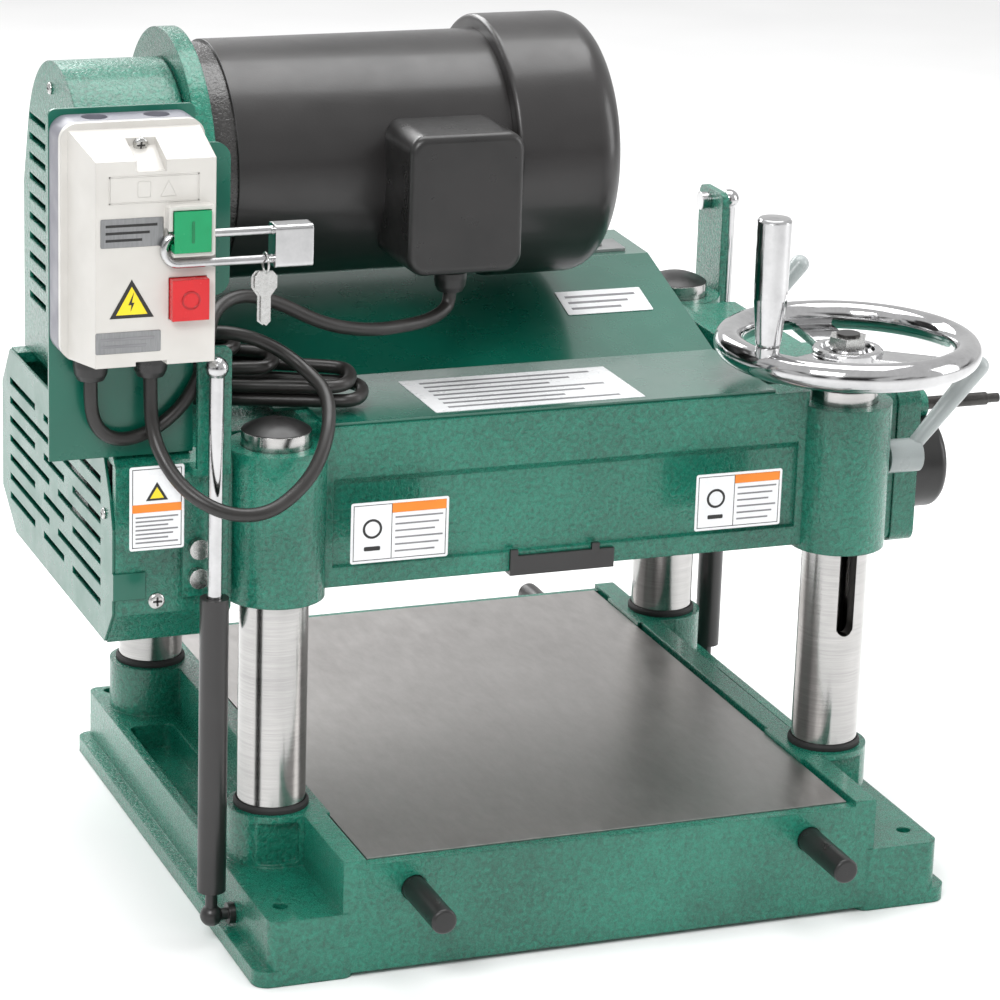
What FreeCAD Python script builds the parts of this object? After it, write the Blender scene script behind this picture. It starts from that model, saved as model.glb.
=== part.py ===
import FreeCAD, Part
import math
import os
import re
import Sketcher

# Fixed-table thickness planer with a headstock that slides on four columns.
# Frame: millimetres, +X to the operator's right, +Y away from the operator, +Z up.
# Origin: on the floor, on the centre plane, at the middle of the base's four bolt holes.
# The sizes below are measured from midway between the feet's ends, and every piece is moved
# from there to the origin as it is written.

SIZES = {
    # base and table
    "base_half_width": 211.0, "base_front": -246.5, "base_rear": 272.0,
    "base_under": 3.0, "base_cavity_top": 50.0,
    "table_width": 381.0, "table_front": -236.5, "table_rear": 264.5,
    "table_top": 87.0, "table_thick": 11.0, "rail_top": 90.0, "rail_gap": 3.5,
    "foot_outer": 266.0, "foot_half_length": 247.5, "foot_top": 50.0,
    "flange_outer": 276.0, "flange_top": 12.0,
    "hole_space_x": 499.0, "hole_front": -219.5, "hole_rear": 237.0, "hole_radius": 5.5,
    "tray_floor": 30.0, "chain_pocket_top": 20.0, "chain_pocket_radius": 23.0,
    # columns, lead screws and chain
    "column_x": 226.0, "column_front": -121.5, "column_rear": 201.5,
    "column_radius": 25.5, "column_bore": 15.0, "column_low": 28.0, "column_top": 378.0,
    "socket_radius": 33.0, "socket_top": 90.0, "slide_gap": 0.3,
    "seal_radius": 28.0, "seal_top": 95.0, "cap_rise": 8.0, "head_travel": 158.0,
    "scale_slot_width": 14.0, "scale_slot_low": 191.0, "scale_slot_high": 345.0,
    "screw_radius": 9.0, "screw_low": 4.0, "screw_top": 366.0,
    "sprocket_radius": 19.0, "sprocket_low": 8.0, "sprocket_high": 14.0,
    "chain_thick": 2.2,
    # handwheel
    "wheel_plane": 409.0, "wheel_radius": 101.5, "rim_radius": 11.0,
    "hub_radius": 27.0, "hub_low": 391.0, "hub_top": 408.0,
    "spoke_width": 28.0, "spoke_low": 397.0, "spoke_high": 404.0,
    "spoke_angle": 203.0, "handle_low": 424.0, "handle_top": 521.0,
    "handle_radius": 12.5, "handle_bore": 5.5, "handle_stud": 5.0,
    # headstock
    "head_front": -131.5, "head_back": 218.5, "head_low": 257.0, "head_top": 378.0,
    "head_half_width": 192.0, "stock_half_width": 188.0,
    "side_outer": 263.0, "side_front": -84.0, "side_back": 164.0,
    "boss_radius": 37.0, "boss_low": 253.0, "boss_top": 367.0,
    "panel_depth": 4.0, "crease_height": 339.0, "front_flange_top": 271.0,
    "housing_outer": 348.0, "housing_low": 223.0, "housing_top": 369.0,
    "housing_back": 192.0, "housing_wall": 8.0,
    "cover_left": -215.0, "cover_right": 165.0, "cover_sheet": 2.5,
    "cover_crease": -11.5, "cover_brow": 123.5, "cover_brow_height": 424.5,
    "cover_back": 195.0, "cover_back_height": 426.5,
    "strip_front": 132.0, "strip_back": 160.0, "strip_right": 149.0,
    # feed and cutting
    "cutter_y": 30.0, "cutter_z": 291.5, "cutter_radius": 37.5, "cutter_shaft": 12.5,
    "roller_radius": 28.0, "roller_z": 281.0, "infeed_y": -45.0, "outfeed_y": 112.0,
    "journal_radius": 10.0, "finger_y": -94.0, "finger_z": 298.0, "finger_length": 46.0,
    "finger_thick": 6.0, "finger_count": 16.0,
    # motor and drive
    "motor_y": 83.5, "motor_z": 530.0, "motor_radius": 90.0, "bell_radius": 88.0,
    "fan_cover_radius": 101.0, "motor_left": -240.0, "bell_right": -220.0,
    "fan_cover_left": -4.0, "fan_cover_right": 85.0,
    "disc_radius": 100.5, "disc_left": -254.0,
    "motor_pulley": 37.0, "cutter_pulley": 25.5, "pulley_left": -331.5,
    "pulley_right": -286.0, "belt_width": 10.0, "belt_thick": 8.0, "belt_pitch": 15.0,
    # guards
    "guard_left": -350.0, "upper_guard_left": -337.0, "upper_guard_right": -256.0,
    "arch_radius": 82.0, "arch_y": 77.5, "arch_z": 527.5, "arch_rear": 171.0,
    "guard_wall": 3.0, "slot_length": 48.0, "slot_high": 5.5, "slot_pitch": 15.5,
    # gearbox on the right
    "gearbox_left": 263.0, "gearbox_seam": 289.0, "gearbox_right": 308.0,
    "gearbox_front": -90.0, "gearbox_back": 72.0, "gearbox_low": 237.0,
    "gearbox_top": 358.0, "cap_y": -43.0, "cap_z": 287.0, "cap_radius": 37.0,
    "cap_right": 343.0, "shift_y": -40.0, "shift_z": 332.0, "shift_radius": 5.25,
    "shift_boss": 11.0, "shift_boss_right": 336.0, "shift_right": 403.0,
    "shift_thread": 3.75, "shift_thread_long": 11.0,
    # gas struts
    "strut_x": 283.0, "strut_front": -160.0, "strut_rear": 228.0,
    "strut_low": 22.0, "strut_high": 438.0, "strut_ball": 8.3,
    "cylinder_radius": 10.5, "cylinder_low": 42.0, "cylinder_top": 268.0,
    "rod_radius": 5.5, "rod_low": 215.0, "foot_plate_thick": 6.0, "upright_front": -147.5,
    "upright_thick": 5.0, "ledge_low": 355.0, "bracket_top": 449.0,
    "side_plate_left": 264.0, "side_plate_right": 270.0, "lug_front": 217.0, "lug_back": 247.0,
    # switch
    "plate_y": -126.5, "plate_thick": 3.0, "plate_left": -395.5, "plate_right": -291.0,
    "plate_top": 620.5, "switch_left": -395.0, "switch_right": -293.0,
    "switch_low": 450.0, "switch_top": 616.5, "switch_seam": -154.5,
    "switch_face": -200.0,
    "button_x": -316.5, "start_z": 549.8, "stop_z": 501.3, "button_half": 13.0,
    "button_rise": 14.3,
    # lift bars, levers, cords
    "bar_x": 157.0, "bar_z": 64.0, "bar_radius": 9.5, "bar_reach": 64.0,
    "bar_inner": 110.0, "bar_travel": 55.0,
    "lever_z": 318.0, "lever_hub": 13.0, "lever_hub_right": 291.0,
    "cord_radius": 5.0,
    # padlock
    "shackle_y": -203.6, "shackle_high": 546.4, "shackle_low": 526.1, "shackle_radius": 3.0,
    "shackle_bow": -324.35, "lock_left": -258.0, "lock_right": -231.0, "key_x": -262.3,
}

doc = FreeCAD.newDocument("thickness_planer")
sheet = doc.addObject("Spreadsheet::Sheet", "dims")
for row, (alias, number) in enumerate(SIZES.items(), start=1):
    sheet.set(f"A{row}", alias)
    sheet.set(f"B{row}", str(number))
    sheet.setAlias(f"B{row}", alias)
doc.recompute()

PARTS = []
AXIS_TURN = {
    "x": FreeCAD.Rotation(FreeCAD.Vector(0, 1, 0), 90),
    "y": FreeCAD.Rotation(FreeCAD.Vector(1, 0, 0), -90),
    "z": FreeCAD.Rotation(),
}
CORNERS = {
    "fl": ("-column_x", "column_front"),
    "fr": ("column_x", "column_front"),
    "rl": ("-column_x", "column_rear"),
    "rr": ("column_x", "column_rear"),
}


# ---------------------------------------------------------------- helpers

def size(formula):
    """The number that a formula of sheet aliases stands for."""
    return float(eval_formula(str(formula)))


def eval_formula(formula):
    """Works out a formula through the sheet itself, in one scratch cell."""
    if formula not in eval_formula.known:
        cell = "D1"
        sheet.set(cell, "=" + formula)
        sheet.recompute()
        eval_formula.known[formula] = sheet.get(cell)
    return eval_formula.known[formula]


eval_formula.known = {}


def bind(target, prop, formula):
    """Ties a property to a formula of sheet aliases."""
    text = re.sub(r"[a-z_]{3,}", lambda word: "dims." + word[0] if word[0] in SIZES else word[0],
                  str(formula))
    target.setExpression(prop, text)


def place(target, x, y, z):
    for name, formula in zip("xyz", (x, y, z)):
        bind(target, f"Placement.Base.{name}", formula)
    return target


def block(name, x, y, z):
    """A box between two formulas along each axis."""
    box = doc.addObject("Part::Box", name)
    for prop, (low, high) in zip(("Length", "Width", "Height"), (x, y, z)):
        bind(box, prop, f"({high}) - ({low})")
    return place(box, x[0], y[0], z[0])


def rod(name, axis, across, radius, span):
    """A cylinder along an axis; across holds its two other coordinates in order."""
    cylinder = doc.addObject("Part::Cylinder", name)
    bind(cylinder, "Radius", radius)
    bind(cylinder, "Height", f"({span[1]}) - ({span[0]})")
    cylinder.Placement.Rotation = AXIS_TURN[axis]
    where = list(across)
    where.insert("xyz".index(axis), span[0])
    return place(cylinder, *where)


def ball(name, x, y, z, radius):
    sphere = doc.addObject("Part::Sphere", name)
    bind(sphere, "Radius", radius)
    return place(sphere, x, y, z)


def fuse(name, pieces):
    joined = doc.addObject("Part::MultiFuse", name)
    joined.Shapes = list(pieces)
    return joined


def cut(name, base, tools):
    tools = list(tools)
    removed = doc.addObject("Part::Cut", name)
    removed.Base = base
    removed.Tool = tools[0] if len(tools) == 1 else fuse(name + "_tools", tools)
    return removed


def overlap(name, base, tool):
    kept = doc.addObject("Part::Common", name)
    kept.Base = base
    kept.Tool = tool
    return kept


def group(name, pieces):
    """Identical separate solids kept in one sub-part."""
    bundle = doc.addObject("Part::Compound", name)
    bundle.Links = list(pieces)
    return bundle


def prism(name, plane, points, span):
    """A polygon drawn on an origin plane and padded between two heights along its normal."""
    body = doc.addObject("PartDesign::Body", name)
    sketch = body.newObject("Sketcher::SketchObject", name + "_outline")
    role = {"XY": "XY_Plane", "XZ": "XZ_Plane", "YZ": "YZ_Plane"}[plane]
    support = [item for item in body.Origin.OriginFeatures if item.Role == role][0]
    sketch.AttachmentSupport = (support, [""])
    sketch.MapMode = "FlatFace"
    numbers = [FreeCAD.Vector(size(u), size(v), 0) for u, v in points]
    count = len(points)
    for index in range(count):
        sketch.addGeometry(Part.LineSegment(numbers[index], numbers[(index + 1) % count]), False)
    for index in range(count):
        following = (index + 1) % count
        sketch.addConstraint(Sketcher.Constraint("Coincident", index, 2, following, 1))
    for index, (u, v) in enumerate(points):
        for kind, formula in (("DistanceX", u), ("DistanceY", v)):
            number = size(formula)
            rule = sketch.addConstraint(Sketcher.Constraint(kind, -1, 1, index, 1, number))
            bind(sketch, f"Constraints[{rule}]", formula)
    offset = f"-({span[1]})" if plane == "XZ" else span[0]
    bind(sketch, "AttachmentOffset.Base.z", offset)
    pad = body.newObject("PartDesign::Pad", name + "_pad")
    pad.Profile = sketch
    bind(pad, "Length", f"({span[1]}) - ({span[0]})")
    body.Tip = pad
    return body


def turned(name, profile, x, y, z, axis="z"):
    """A profile of (radius, height) points turned about an axis through a place."""
    body = doc.addObject("PartDesign::Body", name)
    sketch = body.newObject("Sketcher::SketchObject", name + "_profile")
    support = [item for item in body.Origin.OriginFeatures if item.Role == "XZ_Plane"][0]
    sketch.AttachmentSupport = (support, [""])
    sketch.MapMode = "FlatFace"
    numbers = [FreeCAD.Vector(size(u), size(v), 0) for u, v in profile]
    count = len(profile)
    for index in range(count):
        sketch.addGeometry(Part.LineSegment(numbers[index], numbers[(index + 1) % count]), False)
    for index in range(count):
        following = (index + 1) % count
        sketch.addConstraint(Sketcher.Constraint("Coincident", index, 2, following, 1))
    for index, (u, v) in enumerate(profile):
        for kind, formula in (("DistanceX", u), ("DistanceY", v)):
            number = size(formula)
            rule = sketch.addConstraint(Sketcher.Constraint(kind, -1, 1, index, 1, number))
            bind(sketch, f"Constraints[{rule}]", formula)
    revolution = body.newObject("PartDesign::Revolution", name + "_turn")
    revolution.Profile = sketch
    revolution.ReferenceAxis = (sketch, ["V_Axis"])
    revolution.Angle = 360
    body.Tip = revolution
    body.Placement.Rotation = AXIS_TURN[axis]
    return place(body, x, y, z)


def rounded(name, source, radius, direction=None, where=None):
    """Rounds the straight edges along one direction, or every edge that where() picks."""
    doc.recompute()
    fillet = doc.addObject("Part::Fillet", name)
    fillet.Base = source
    amount = size(radius)
    picked = []
    for number, edge in enumerate(source.Shape.Edges, start=1):
        middle = edge.CenterOfMass
        if direction is not None:
            if not isinstance(edge.Curve, Part.Line):
                continue
            if abs(edge.Curve.Direction.dot(direction)) < 0.999:
                continue
        if where is None or where(middle):
            picked.append((number, amount, amount))
    fillet.Edges = picked
    return fillet


def node(target, label):
    """Names a finished sub-part; the name is also its file's name."""
    target.Label = label
    PARTS.append(target)
    return target


def solid_feature(name, shape):
    """A sub-part whose shape is worked out in code from the sheet's sizes."""
    feature = doc.addObject("Part::Feature", name)
    feature.Shape = shape
    return feature


X = FreeCAD.Vector(1, 0, 0)
Y = FreeCAD.Vector(0, 1, 0)
Z = FreeCAD.Vector(0, 0, 1)


# ---------------------------------------------------------------- base

def make_base():
    solids = [
        block("core", ("-base_half_width", "base_half_width"), ("base_front", "base_rear"),
              ("base_under", "table_top - table_thick")),
        block("front_lip", ("-base_half_width", "base_half_width"),
              ("base_front", "table_front - 0.3"), ("table_top - table_thick", "table_top - 1")),
        block("rear_lip", ("-base_half_width", "base_half_width"),
              ("table_rear + 0.3", "base_rear"), ("table_top - table_thick", "table_top - 1")),
    ]
    for side, sign in (("left", "-1"), ("right", "1")):
        low, high = ("-base_half_width", "-table_width / 2 - rail_gap")
        if sign == "1":
            low, high = ("table_width / 2 + rail_gap", "base_half_width")
        solids.append(block(f"rail_{side}", (low, high), ("base_front", "base_rear"),
                            ("table_top - table_thick", "rail_top")))
        inner, outer = ("-foot_outer", "-base_half_width + 10")
        if sign == "1":
            inner, outer = ("base_half_width - 10", "foot_outer")
        foot = block(f"foot_{side}", (inner, outer), ("-foot_half_length", "foot_half_length"),
                     ("0", "foot_top"))
        solids.append(rounded(f"foot_{side}_round", foot, 9, Z))
        inner, outer = ("-flange_outer", "-base_half_width + 10")
        if sign == "1":
            inner, outer = ("base_half_width - 10", "flange_outer")
        flange = block(f"flange_{side}", (inner, outer),
                       ("-foot_half_length", "foot_half_length"), ("0", "flange_top"))
        solids.append(rounded(f"flange_{side}_round", flange, 12, Z))
    for key, (x, y) in CORNERS.items():
        solids.append(rod(f"socket_{key}", "z", (x, y), "socket_radius", ("0", "socket_top")))
        inner = ("-column_x", "-base_half_width + 20")
        if key.endswith("r"):
            inner = ("base_half_width - 20", "column_x")
        solids.append(block(f"socket_web_{key}", inner, (f"{y} - socket_radius",
                            f"{y} + socket_radius"), ("0", "socket_top")))
    blank = fuse("base_blank", solids)

    holes = []
    for index in range(4):
        x = "hole_space_x / 2" if index % 2 else "-hole_space_x / 2"
        y = "hole_rear" if index // 2 else "hole_front"
        holes.append(rod(f"bolt_hole_{index}", "z", (x, y), "hole_radius", ("-1", "foot_top + 1")))
    for key, (x, y) in CORNERS.items():
        holes.append(rod(f"column_seat_{key}", "z", (x, y), "column_radius + 0.05",
                         ("column_low", "socket_top + 1")))
        holes.append(rod(f"screw_way_{key}", "z", (x, y), "screw_radius + 0.6",
                         ("-1", "column_low + 1")))
        holes.append(rod(f"chain_corner_{key}", "z", (x, y), "chain_pocket_radius",
                         ("-1", "chain_pocket_top")))
    for key, left in (("fl", "-column_x - 20"), ("fr", "column_x - 12")):
        pocket = block(f"socket_pocket_{key}", (left, f"{left} + 32"),
                       ("column_front - socket_radius - 1", "column_front - socket_radius + 6"),
                       ("foot_top + 3", "socket_top - 5"))
        holes.append(rounded(f"socket_pocket_round_{key}", pocket, 4, Y))
    holes.append(block("chain_channel_wide", ("-column_x", "column_x"),
                       ("column_front - chain_pocket_radius", "column_rear + chain_pocket_radius"),
                       ("-1", "chain_pocket_top")))
    holes.append(block("chain_channel_long",
                       ("-column_x - chain_pocket_radius", "column_x + chain_pocket_radius"),
                       ("column_front", "column_rear"), ("-1", "chain_pocket_top")))
    holes.append(block("underside", ("-base_half_width + 20", "base_half_width - 20"),
                       ("base_front + 14", "base_rear - 14"), ("-1", "base_cavity_top")))
    for side, (low, high) in (("left", ("-258", "-222")), ("right", ("222", "258"))):
        tray = block(f"tray_{side}", (low, high), ("-72", "152"), ("tray_floor", "foot_top + 1"))
        holes.append(rounded(f"tray_{side}_round", tray, 8, Z))
    for end, sign in (("front", "-1"), ("rear", "1")):
        for side, x in (("left", "-bar_x"), ("right", "bar_x")):
            span = ("base_front - 1", "-bar_inner + bar_travel + 4")
            if end == "rear":
                span = ("bar_inner - bar_travel - 4", "base_rear + 1")
            holes.append(rod(f"bar_bore_{end}_{side}", "y", (x, "bar_z"), "bar_radius + 0.4", span))
    body = cut("base_cut", blank, holes)
    node(body, "base_casting")

    table = block("table_blank", ("-table_width / 2", "table_width / 2"),
                  ("table_front", "table_rear"), ("table_top - table_thick", "table_top"))
    node(table, "table")


def make_columns():
    for key, (x, y) in CORNERS.items():
        tube = rod(f"column_{key}_tube", "z", (x, y), "column_radius", ("column_low", "column_top"))
        ways = [rod(f"column_{key}_bore", "z", (x, y), "column_bore",
                    ("column_low - 1", "column_top + 1"))]
        if key == "fr":
            ways.append(block("scale_slot", ("column_x - scale_slot_width / 2",
                        "column_x + scale_slot_width / 2"),
                        (f"{y} - column_radius - 2", f"{y} - column_bore + 3"),
                        ("scale_slot_low", "scale_slot_high")))
            ways.append(rod("scale_slot_end", "y", ("column_x", "scale_slot_low"),
                            "scale_slot_width / 2",
                            (f"{y} - column_radius - 2", f"{y} - column_bore + 3")))
        node(cut(f"column_{key}_cut", tube, ways), f"column_{key}")

    rings = []
    for key, (x, y) in CORNERS.items():
        rings.append(turned(f"seal_{key}", [
            ("column_radius + slide_gap", "socket_top"), ("seal_radius", "socket_top"),
            ("seal_radius", "seal_top - 2"), ("seal_radius - 1.4", "seal_top"),
            ("column_radius + slide_gap", "seal_top")], x, y, "0"))
    node(group("seal_set", rings), "column_seals")

    caps = []
    for key in ("fl", "rl", "rr"):
        x, y = CORNERS[key]
        dome = ball(f"cap_ball_{key}", x, y, "column_top + cap_rise - 45.4", "45.4")
        disc = rod(f"cap_disc_{key}", "z", (x, y), "column_radius - 0.3",
                   ("column_top", "column_top + cap_rise + 1"))
        caps.append(overlap(f"cap_{key}", disc, dome))
    node(group("cap_set", caps), "column_caps")

    x, y = CORNERS["fr"]
    collar = turned("collar_ring", [("screw_radius + 1", "column_top"), ("24", "column_top"),
                    ("24", "column_top + 10.5"), ("22.5", "column_top + 12"),
                    ("screw_radius + 1", "column_top + 12")], x, y, "0")
    notches = []
    for index in range(6):
        arm = doc.addObject("Part::Box", f"collar_slot_{index}")
        arm.Length, arm.Width, arm.Height = 7, 5, 14
        turn = FreeCAD.Rotation(Z, 60 * index + 15)
        corner = turn.multVec(FreeCAD.Vector(-3.5, 20.5, 0))
        arm.Placement = FreeCAD.Placement(corner, turn)
        place(arm, f"{x} + ({corner.x:.4f})", f"{y} + ({corner.y:.4f})", "column_top + 2")
        notches.append(arm)
    node(cut("collar_cut", collar, notches), "column_collar")


def make_lead_screws():
    for key, (x, y) in CORNERS.items():
        top = "wheel_plane + 10" if key == "fr" else "screw_top"
        shank = rod(f"screw_{key}_shank", "z", (x, y), "screw_radius", ("screw_low", top))
        pieces = [shank]
        sprocket = rod(f"sprocket_{key}", "z", (x, y), "sprocket_radius",
                       ("sprocket_low", "sprocket_high"))
        pieces.append(sprocket)
        node(fuse(f"screw_{key}", pieces), f"lead_screw_{key}")


def rounded_loop(reach, low, high):
    """A rectangle of tangent lines round the four sprockets, as a solid slab."""
    slabs = [
        Part.makeBox(2 * size("column_x"), size("column_rear - column_front") + 2 * reach,
                     high - low, FreeCAD.Vector(-size("column_x"), size("column_front") - reach, low)),
        Part.makeBox(2 * (size("column_x") + reach), size("column_rear - column_front"),
                     high - low, FreeCAD.Vector(-size("column_x") - reach, size("column_front"), low)),
    ]
    for x, y in CORNERS.values():
        slabs.append(Part.makeCylinder(reach, high - low, FreeCAD.Vector(size(x), size(y), low)))
    whole = slabs[0]
    for slab in slabs[1:]:
        whole = whole.fuse(slab)
    return whole.removeSplitter()


def make_chain():
    low, high = size("sprocket_low"), size("sprocket_high")
    inner = size("sprocket_radius") + 0.4
    band = rounded_loop(inner + size("chain_thick"), low, high)
    band = band.cut(rounded_loop(inner, low - 1, high + 1))
    node(solid_feature("chain_band", band), "lift_chain")


def make_lift_bars():
    for end in ("front", "rear"):
        for side, x in (("left", "-bar_x"), ("right", "bar_x")):
            span = ("base_front - bar_reach", "-bar_inner")
            if end == "rear":
                span = ("bar_inner", "base_rear + bar_reach")
            bar = rod(f"bar_{end}_{side}", "y", (x, "bar_z"), "bar_radius", span)
            doc.recompute()
            outer = size(span[0]) if end == "front" else size(span[1])
            bar = rounded(f"bar_{end}_{side}_round", bar, 2.5, None,
                          lambda middle, outer=outer: abs(middle.y - outer) < 0.1)
            node(bar, f"lift_bar_{end}_{side}")


# ---------------------------------------------------------------- handwheel

def make_handwheel():
    x, y = CORNERS["fr"]
    rim = doc.addObject("Part::Torus", "rim")
    bind(rim, "Radius1", "wheel_radius - rim_radius")
    bind(rim, "Radius2", "rim_radius")
    place(rim, x, y, "wheel_plane")
    hub = turned("hub", [("screw_radius", "hub_low"), ("20", "hub_low"),
                 ("hub_radius", "hub_low + 5"), ("hub_radius", "hub_top - 1.5"),
                 ("hub_radius - 1.5", "hub_top"), ("21", "hub_top"), ("19.5", "hub_top - 4"),
                 ("14.5", "hub_top - 4"), ("13", "hub_top - 0.5"),
                 ("screw_radius", "hub_top - 0.5")], x, y, "0")
    pieces = [rim, hub]
    for index in range(3):
        angle = size("spoke_angle") + 120 * index
        turn = FreeCAD.Rotation(Z, angle)
        spoke = doc.addObject("Part::Box", f"spoke_{index}")
        bind(spoke, "Length", "wheel_radius - rim_radius - 22")
        bind(spoke, "Width", "spoke_width")
        bind(spoke, "Height", "spoke_high - spoke_low")
        corner = turn.multVec(FreeCAD.Vector(22, -size("spoke_width") / 2, 0))
        spoke.Placement = FreeCAD.Placement(corner, turn)
        place(spoke, f"{x} + ({corner.x:.4f})", f"{y} + ({corner.y:.4f})", "spoke_low")
        pieces.append(spoke)
    angle = math.radians(size("spoke_angle"))
    reach = size("wheel_radius - rim_radius")
    grip_x = f"{x} + ({reach * math.cos(angle):.4f})"
    grip_y = f"{y} + ({reach * math.sin(angle):.4f})"
    pieces.append(rod("grip_boss", "z", (grip_x, grip_y), "9", ("wheel_plane - 6", "handle_low - 0.4")))
    pieces.append(rod("grip_stud", "z", (grip_x, grip_y), "handle_stud",
                      ("wheel_plane", "handle_top - 12")))
    node(fuse("wheel", pieces), "handwheel")

    grip = turned("grip", [("handle_bore", "handle_low"), ("8.5", "handle_low"),
                  ("9.5", "handle_low + 2"), ("handle_radius - 0.5", "handle_low + 30"),
                  ("handle_radius", "handle_low + 36"), ("handle_radius + 0.5", "handle_top - 2"),
                  ("handle_radius - 1", "handle_top"), ("0", "handle_top + 0.8"),
                  ("0", "handle_top - 10"), ("handle_bore", "handle_top - 10")],
                  grip_x, grip_y, "0")
    node(grip, "handwheel_handle")

    washer = rod("wheel_washer", "z", (x, y), "12", ("hub_top - 0.5", "hub_top + 1.5"))
    bore = rod("wheel_nut_bore", "z", (x, y), "screw_radius", ("hub_top - 2", "hub_top + 20"))
    corners = []
    for index in range(6):
        turn = math.radians(60 * index)
        corners.append((f"{x} + {15 * math.cos(turn):.4f}", f"{y} + {15 * math.sin(turn):.4f}"))
    nut = prism("wheel_nut_hex", "XY", corners, ("hub_top + 1.5", "hub_top + 9"))
    node(cut("wheel_nut", fuse("wheel_nut_pair", [washer, nut]), [bore]), "handwheel_nut")


# ---------------------------------------------------------------- headstock casting

def make_headstock():
    width = ("-head_half_width", "head_half_width")
    height = ("head_low", "head_top")
    solids = [
        block("front_beam", width, ("head_front", "-106"), height),
        block("rear_beam", width, ("cover_back", "head_back"), height),
        block("left_side", ("-side_outer", "-stock_half_width"), ("side_front", "side_back"),
              ("head_low", "boss_top")),
        block("right_side", ("stock_half_width", "side_outer"), ("side_front", "side_back"),
              ("head_low", "boss_top")),
        block("left_wall", ("-head_half_width - 8", "-stock_half_width"),
              ("-110", "cover_back + 4"), height),
        block("right_wall", ("stock_half_width", "head_half_width + 8"),
              ("-110", "cover_back + 4"), height),
        block("motor_pad", ("-side_outer + 1", "-side_outer + 31"), ("20", "148"),
              ("boss_top - 1", "head_top")),
    ]
    for key, (x, y) in CORNERS.items():
        solids.append(rod(f"boss_{key}", "z", (x, y), "boss_radius", ("boss_low", "boss_top")))
        inner = ("-column_x", "-head_half_width + 4")
        if key.endswith("r"):
            inner = ("head_half_width - 4", "column_x")
        back = (f"{y} + boss_radius - 14") if key.startswith("f") else "head_back"
        front = "head_front" if key.startswith("f") else (f"{y} - boss_radius + 14")
        solids.append(block(f"boss_web_{key}", inner, (front, back), ("head_low", "boss_top")))
    solids.append(block("strut_lug", ("side_plate_left - 26", "side_plate_left"),
                        ("lug_front", "lug_back - 1"), ("head_low + 3", "head_top - 18")))
    outline = [("head_front", "250"), ("-110", "housing_low"), ("150", "housing_low"),
               ("housing_back", "250"), ("housing_back", "337"), ("168", "housing_top"),
               ("-121.5", "housing_top"), ("head_front", "housing_top - 8")]
    solids.append(prism("housing", "YZ", outline, ("-housing_outer", "-side_outer + 1")))
    blank = fuse("head_blank", solids)

    holes = [prism("front_panel", "YZ", [("head_front - 2", "front_flange_top"),
             ("head_front + panel_depth", "front_flange_top + 2"),
             ("head_front + panel_depth", "crease_height - 5"),
             ("head_front - 2", "crease_height + 3")],
             ("-stock_half_width + 3", "stock_half_width - 3"))]
    for key, (x, y) in CORNERS.items():
        holes.append(rod(f"boss_bore_{key}", "z", (x, y), "column_radius + slide_gap",
                         ("boss_low - 1", "head_top + 1")))
    inside = [("head_front + housing_wall", "256"), ("-107", "housing_low + housing_wall"),
              ("147", "housing_low + housing_wall"), ("housing_back - housing_wall", "256"),
              ("housing_back - housing_wall", "332"), ("164", "housing_top - housing_wall"),
              ("head_front + housing_wall", "housing_top - housing_wall")]
    holes.append(prism("housing_inside", "YZ", inside, ("-housing_outer - 1", "-side_outer - 4")))
    holes.append(block("belt_way", ("-housing_outer - 1", "-side_outer - 6"), ("-12", "150"),
                       ("housing_top - housing_wall - 2", "housing_top + 1")))
    holes.append(rod("cutter_bore", "x", ("cutter_y", "cutter_z"), "cutter_shaft + 0.5",
                     ("-side_outer - 20", "side_outer - 20")))
    for name, y in (("infeed", "infeed_y"), ("outfeed", "outfeed_y")):
        holes.append(rod(f"{name}_bore", "x", (y, "roller_z"), "journal_radius + 0.5",
                         ("-side_outer + 30", "side_outer - 20")))
    holes.append(rod("finger_rod_bore", "x", ("finger_y", "finger_z"), "5.4",
                     ("-stock_half_width - 8", "stock_half_width + 8")))
    for name, y in (("front", "column_front"), ("rear", "column_rear")):
        holes.append(rod(f"lever_bore_{name}", "x", (y, "lever_z"), "6.4",
                         ("side_outer - 16", "side_outer + 1")))
    casting = cut("head_cut", blank, holes)
    node(casting, "headstock_casting")

    limiter_side = ("-47", "36")
    limiter = fuse("limiter", [
        block("limiter_foot", limiter_side, ("head_front - 3", "head_front + 22"),
              ("head_low - 3", "head_low")),
        block("limiter_face", limiter_side, ("head_front - 3", "head_front"),
              ("head_low - 3", "head_low + 12")),
        block("limiter_horn_left", ("-47", "-41"), ("head_front - 3", "head_front"),
              ("head_low + 11", "head_low + 17")),
        block("limiter_horn_right", ("18", "24"), ("head_front - 3", "head_front"),
              ("head_low + 11", "head_low + 17")),
    ])
    node(limiter, "depth_limiter")


def cover_outline(inset):
    """Section of the bent top cover, or of the space under it."""
    if inset:
        return [("cover_crease - 4", "head_top - 1"),
                ("cover_crease + 8", "head_top + 2.5"),
                ("cover_brow + 1", "cover_brow_height - cover_sheet"),
                ("cover_back - cover_sheet", "cover_back_height - cover_sheet"),
                ("cover_back - cover_sheet", "head_top - 1")]
    return [("head_front + 3.5", "head_top"), ("head_front + 3.5", "head_top + cover_sheet"),
            ("cover_crease", "head_top + cover_sheet"), ("cover_brow", "cover_brow_height"),
            ("cover_back", "cover_back_height"), ("cover_back", "head_top")]


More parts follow.
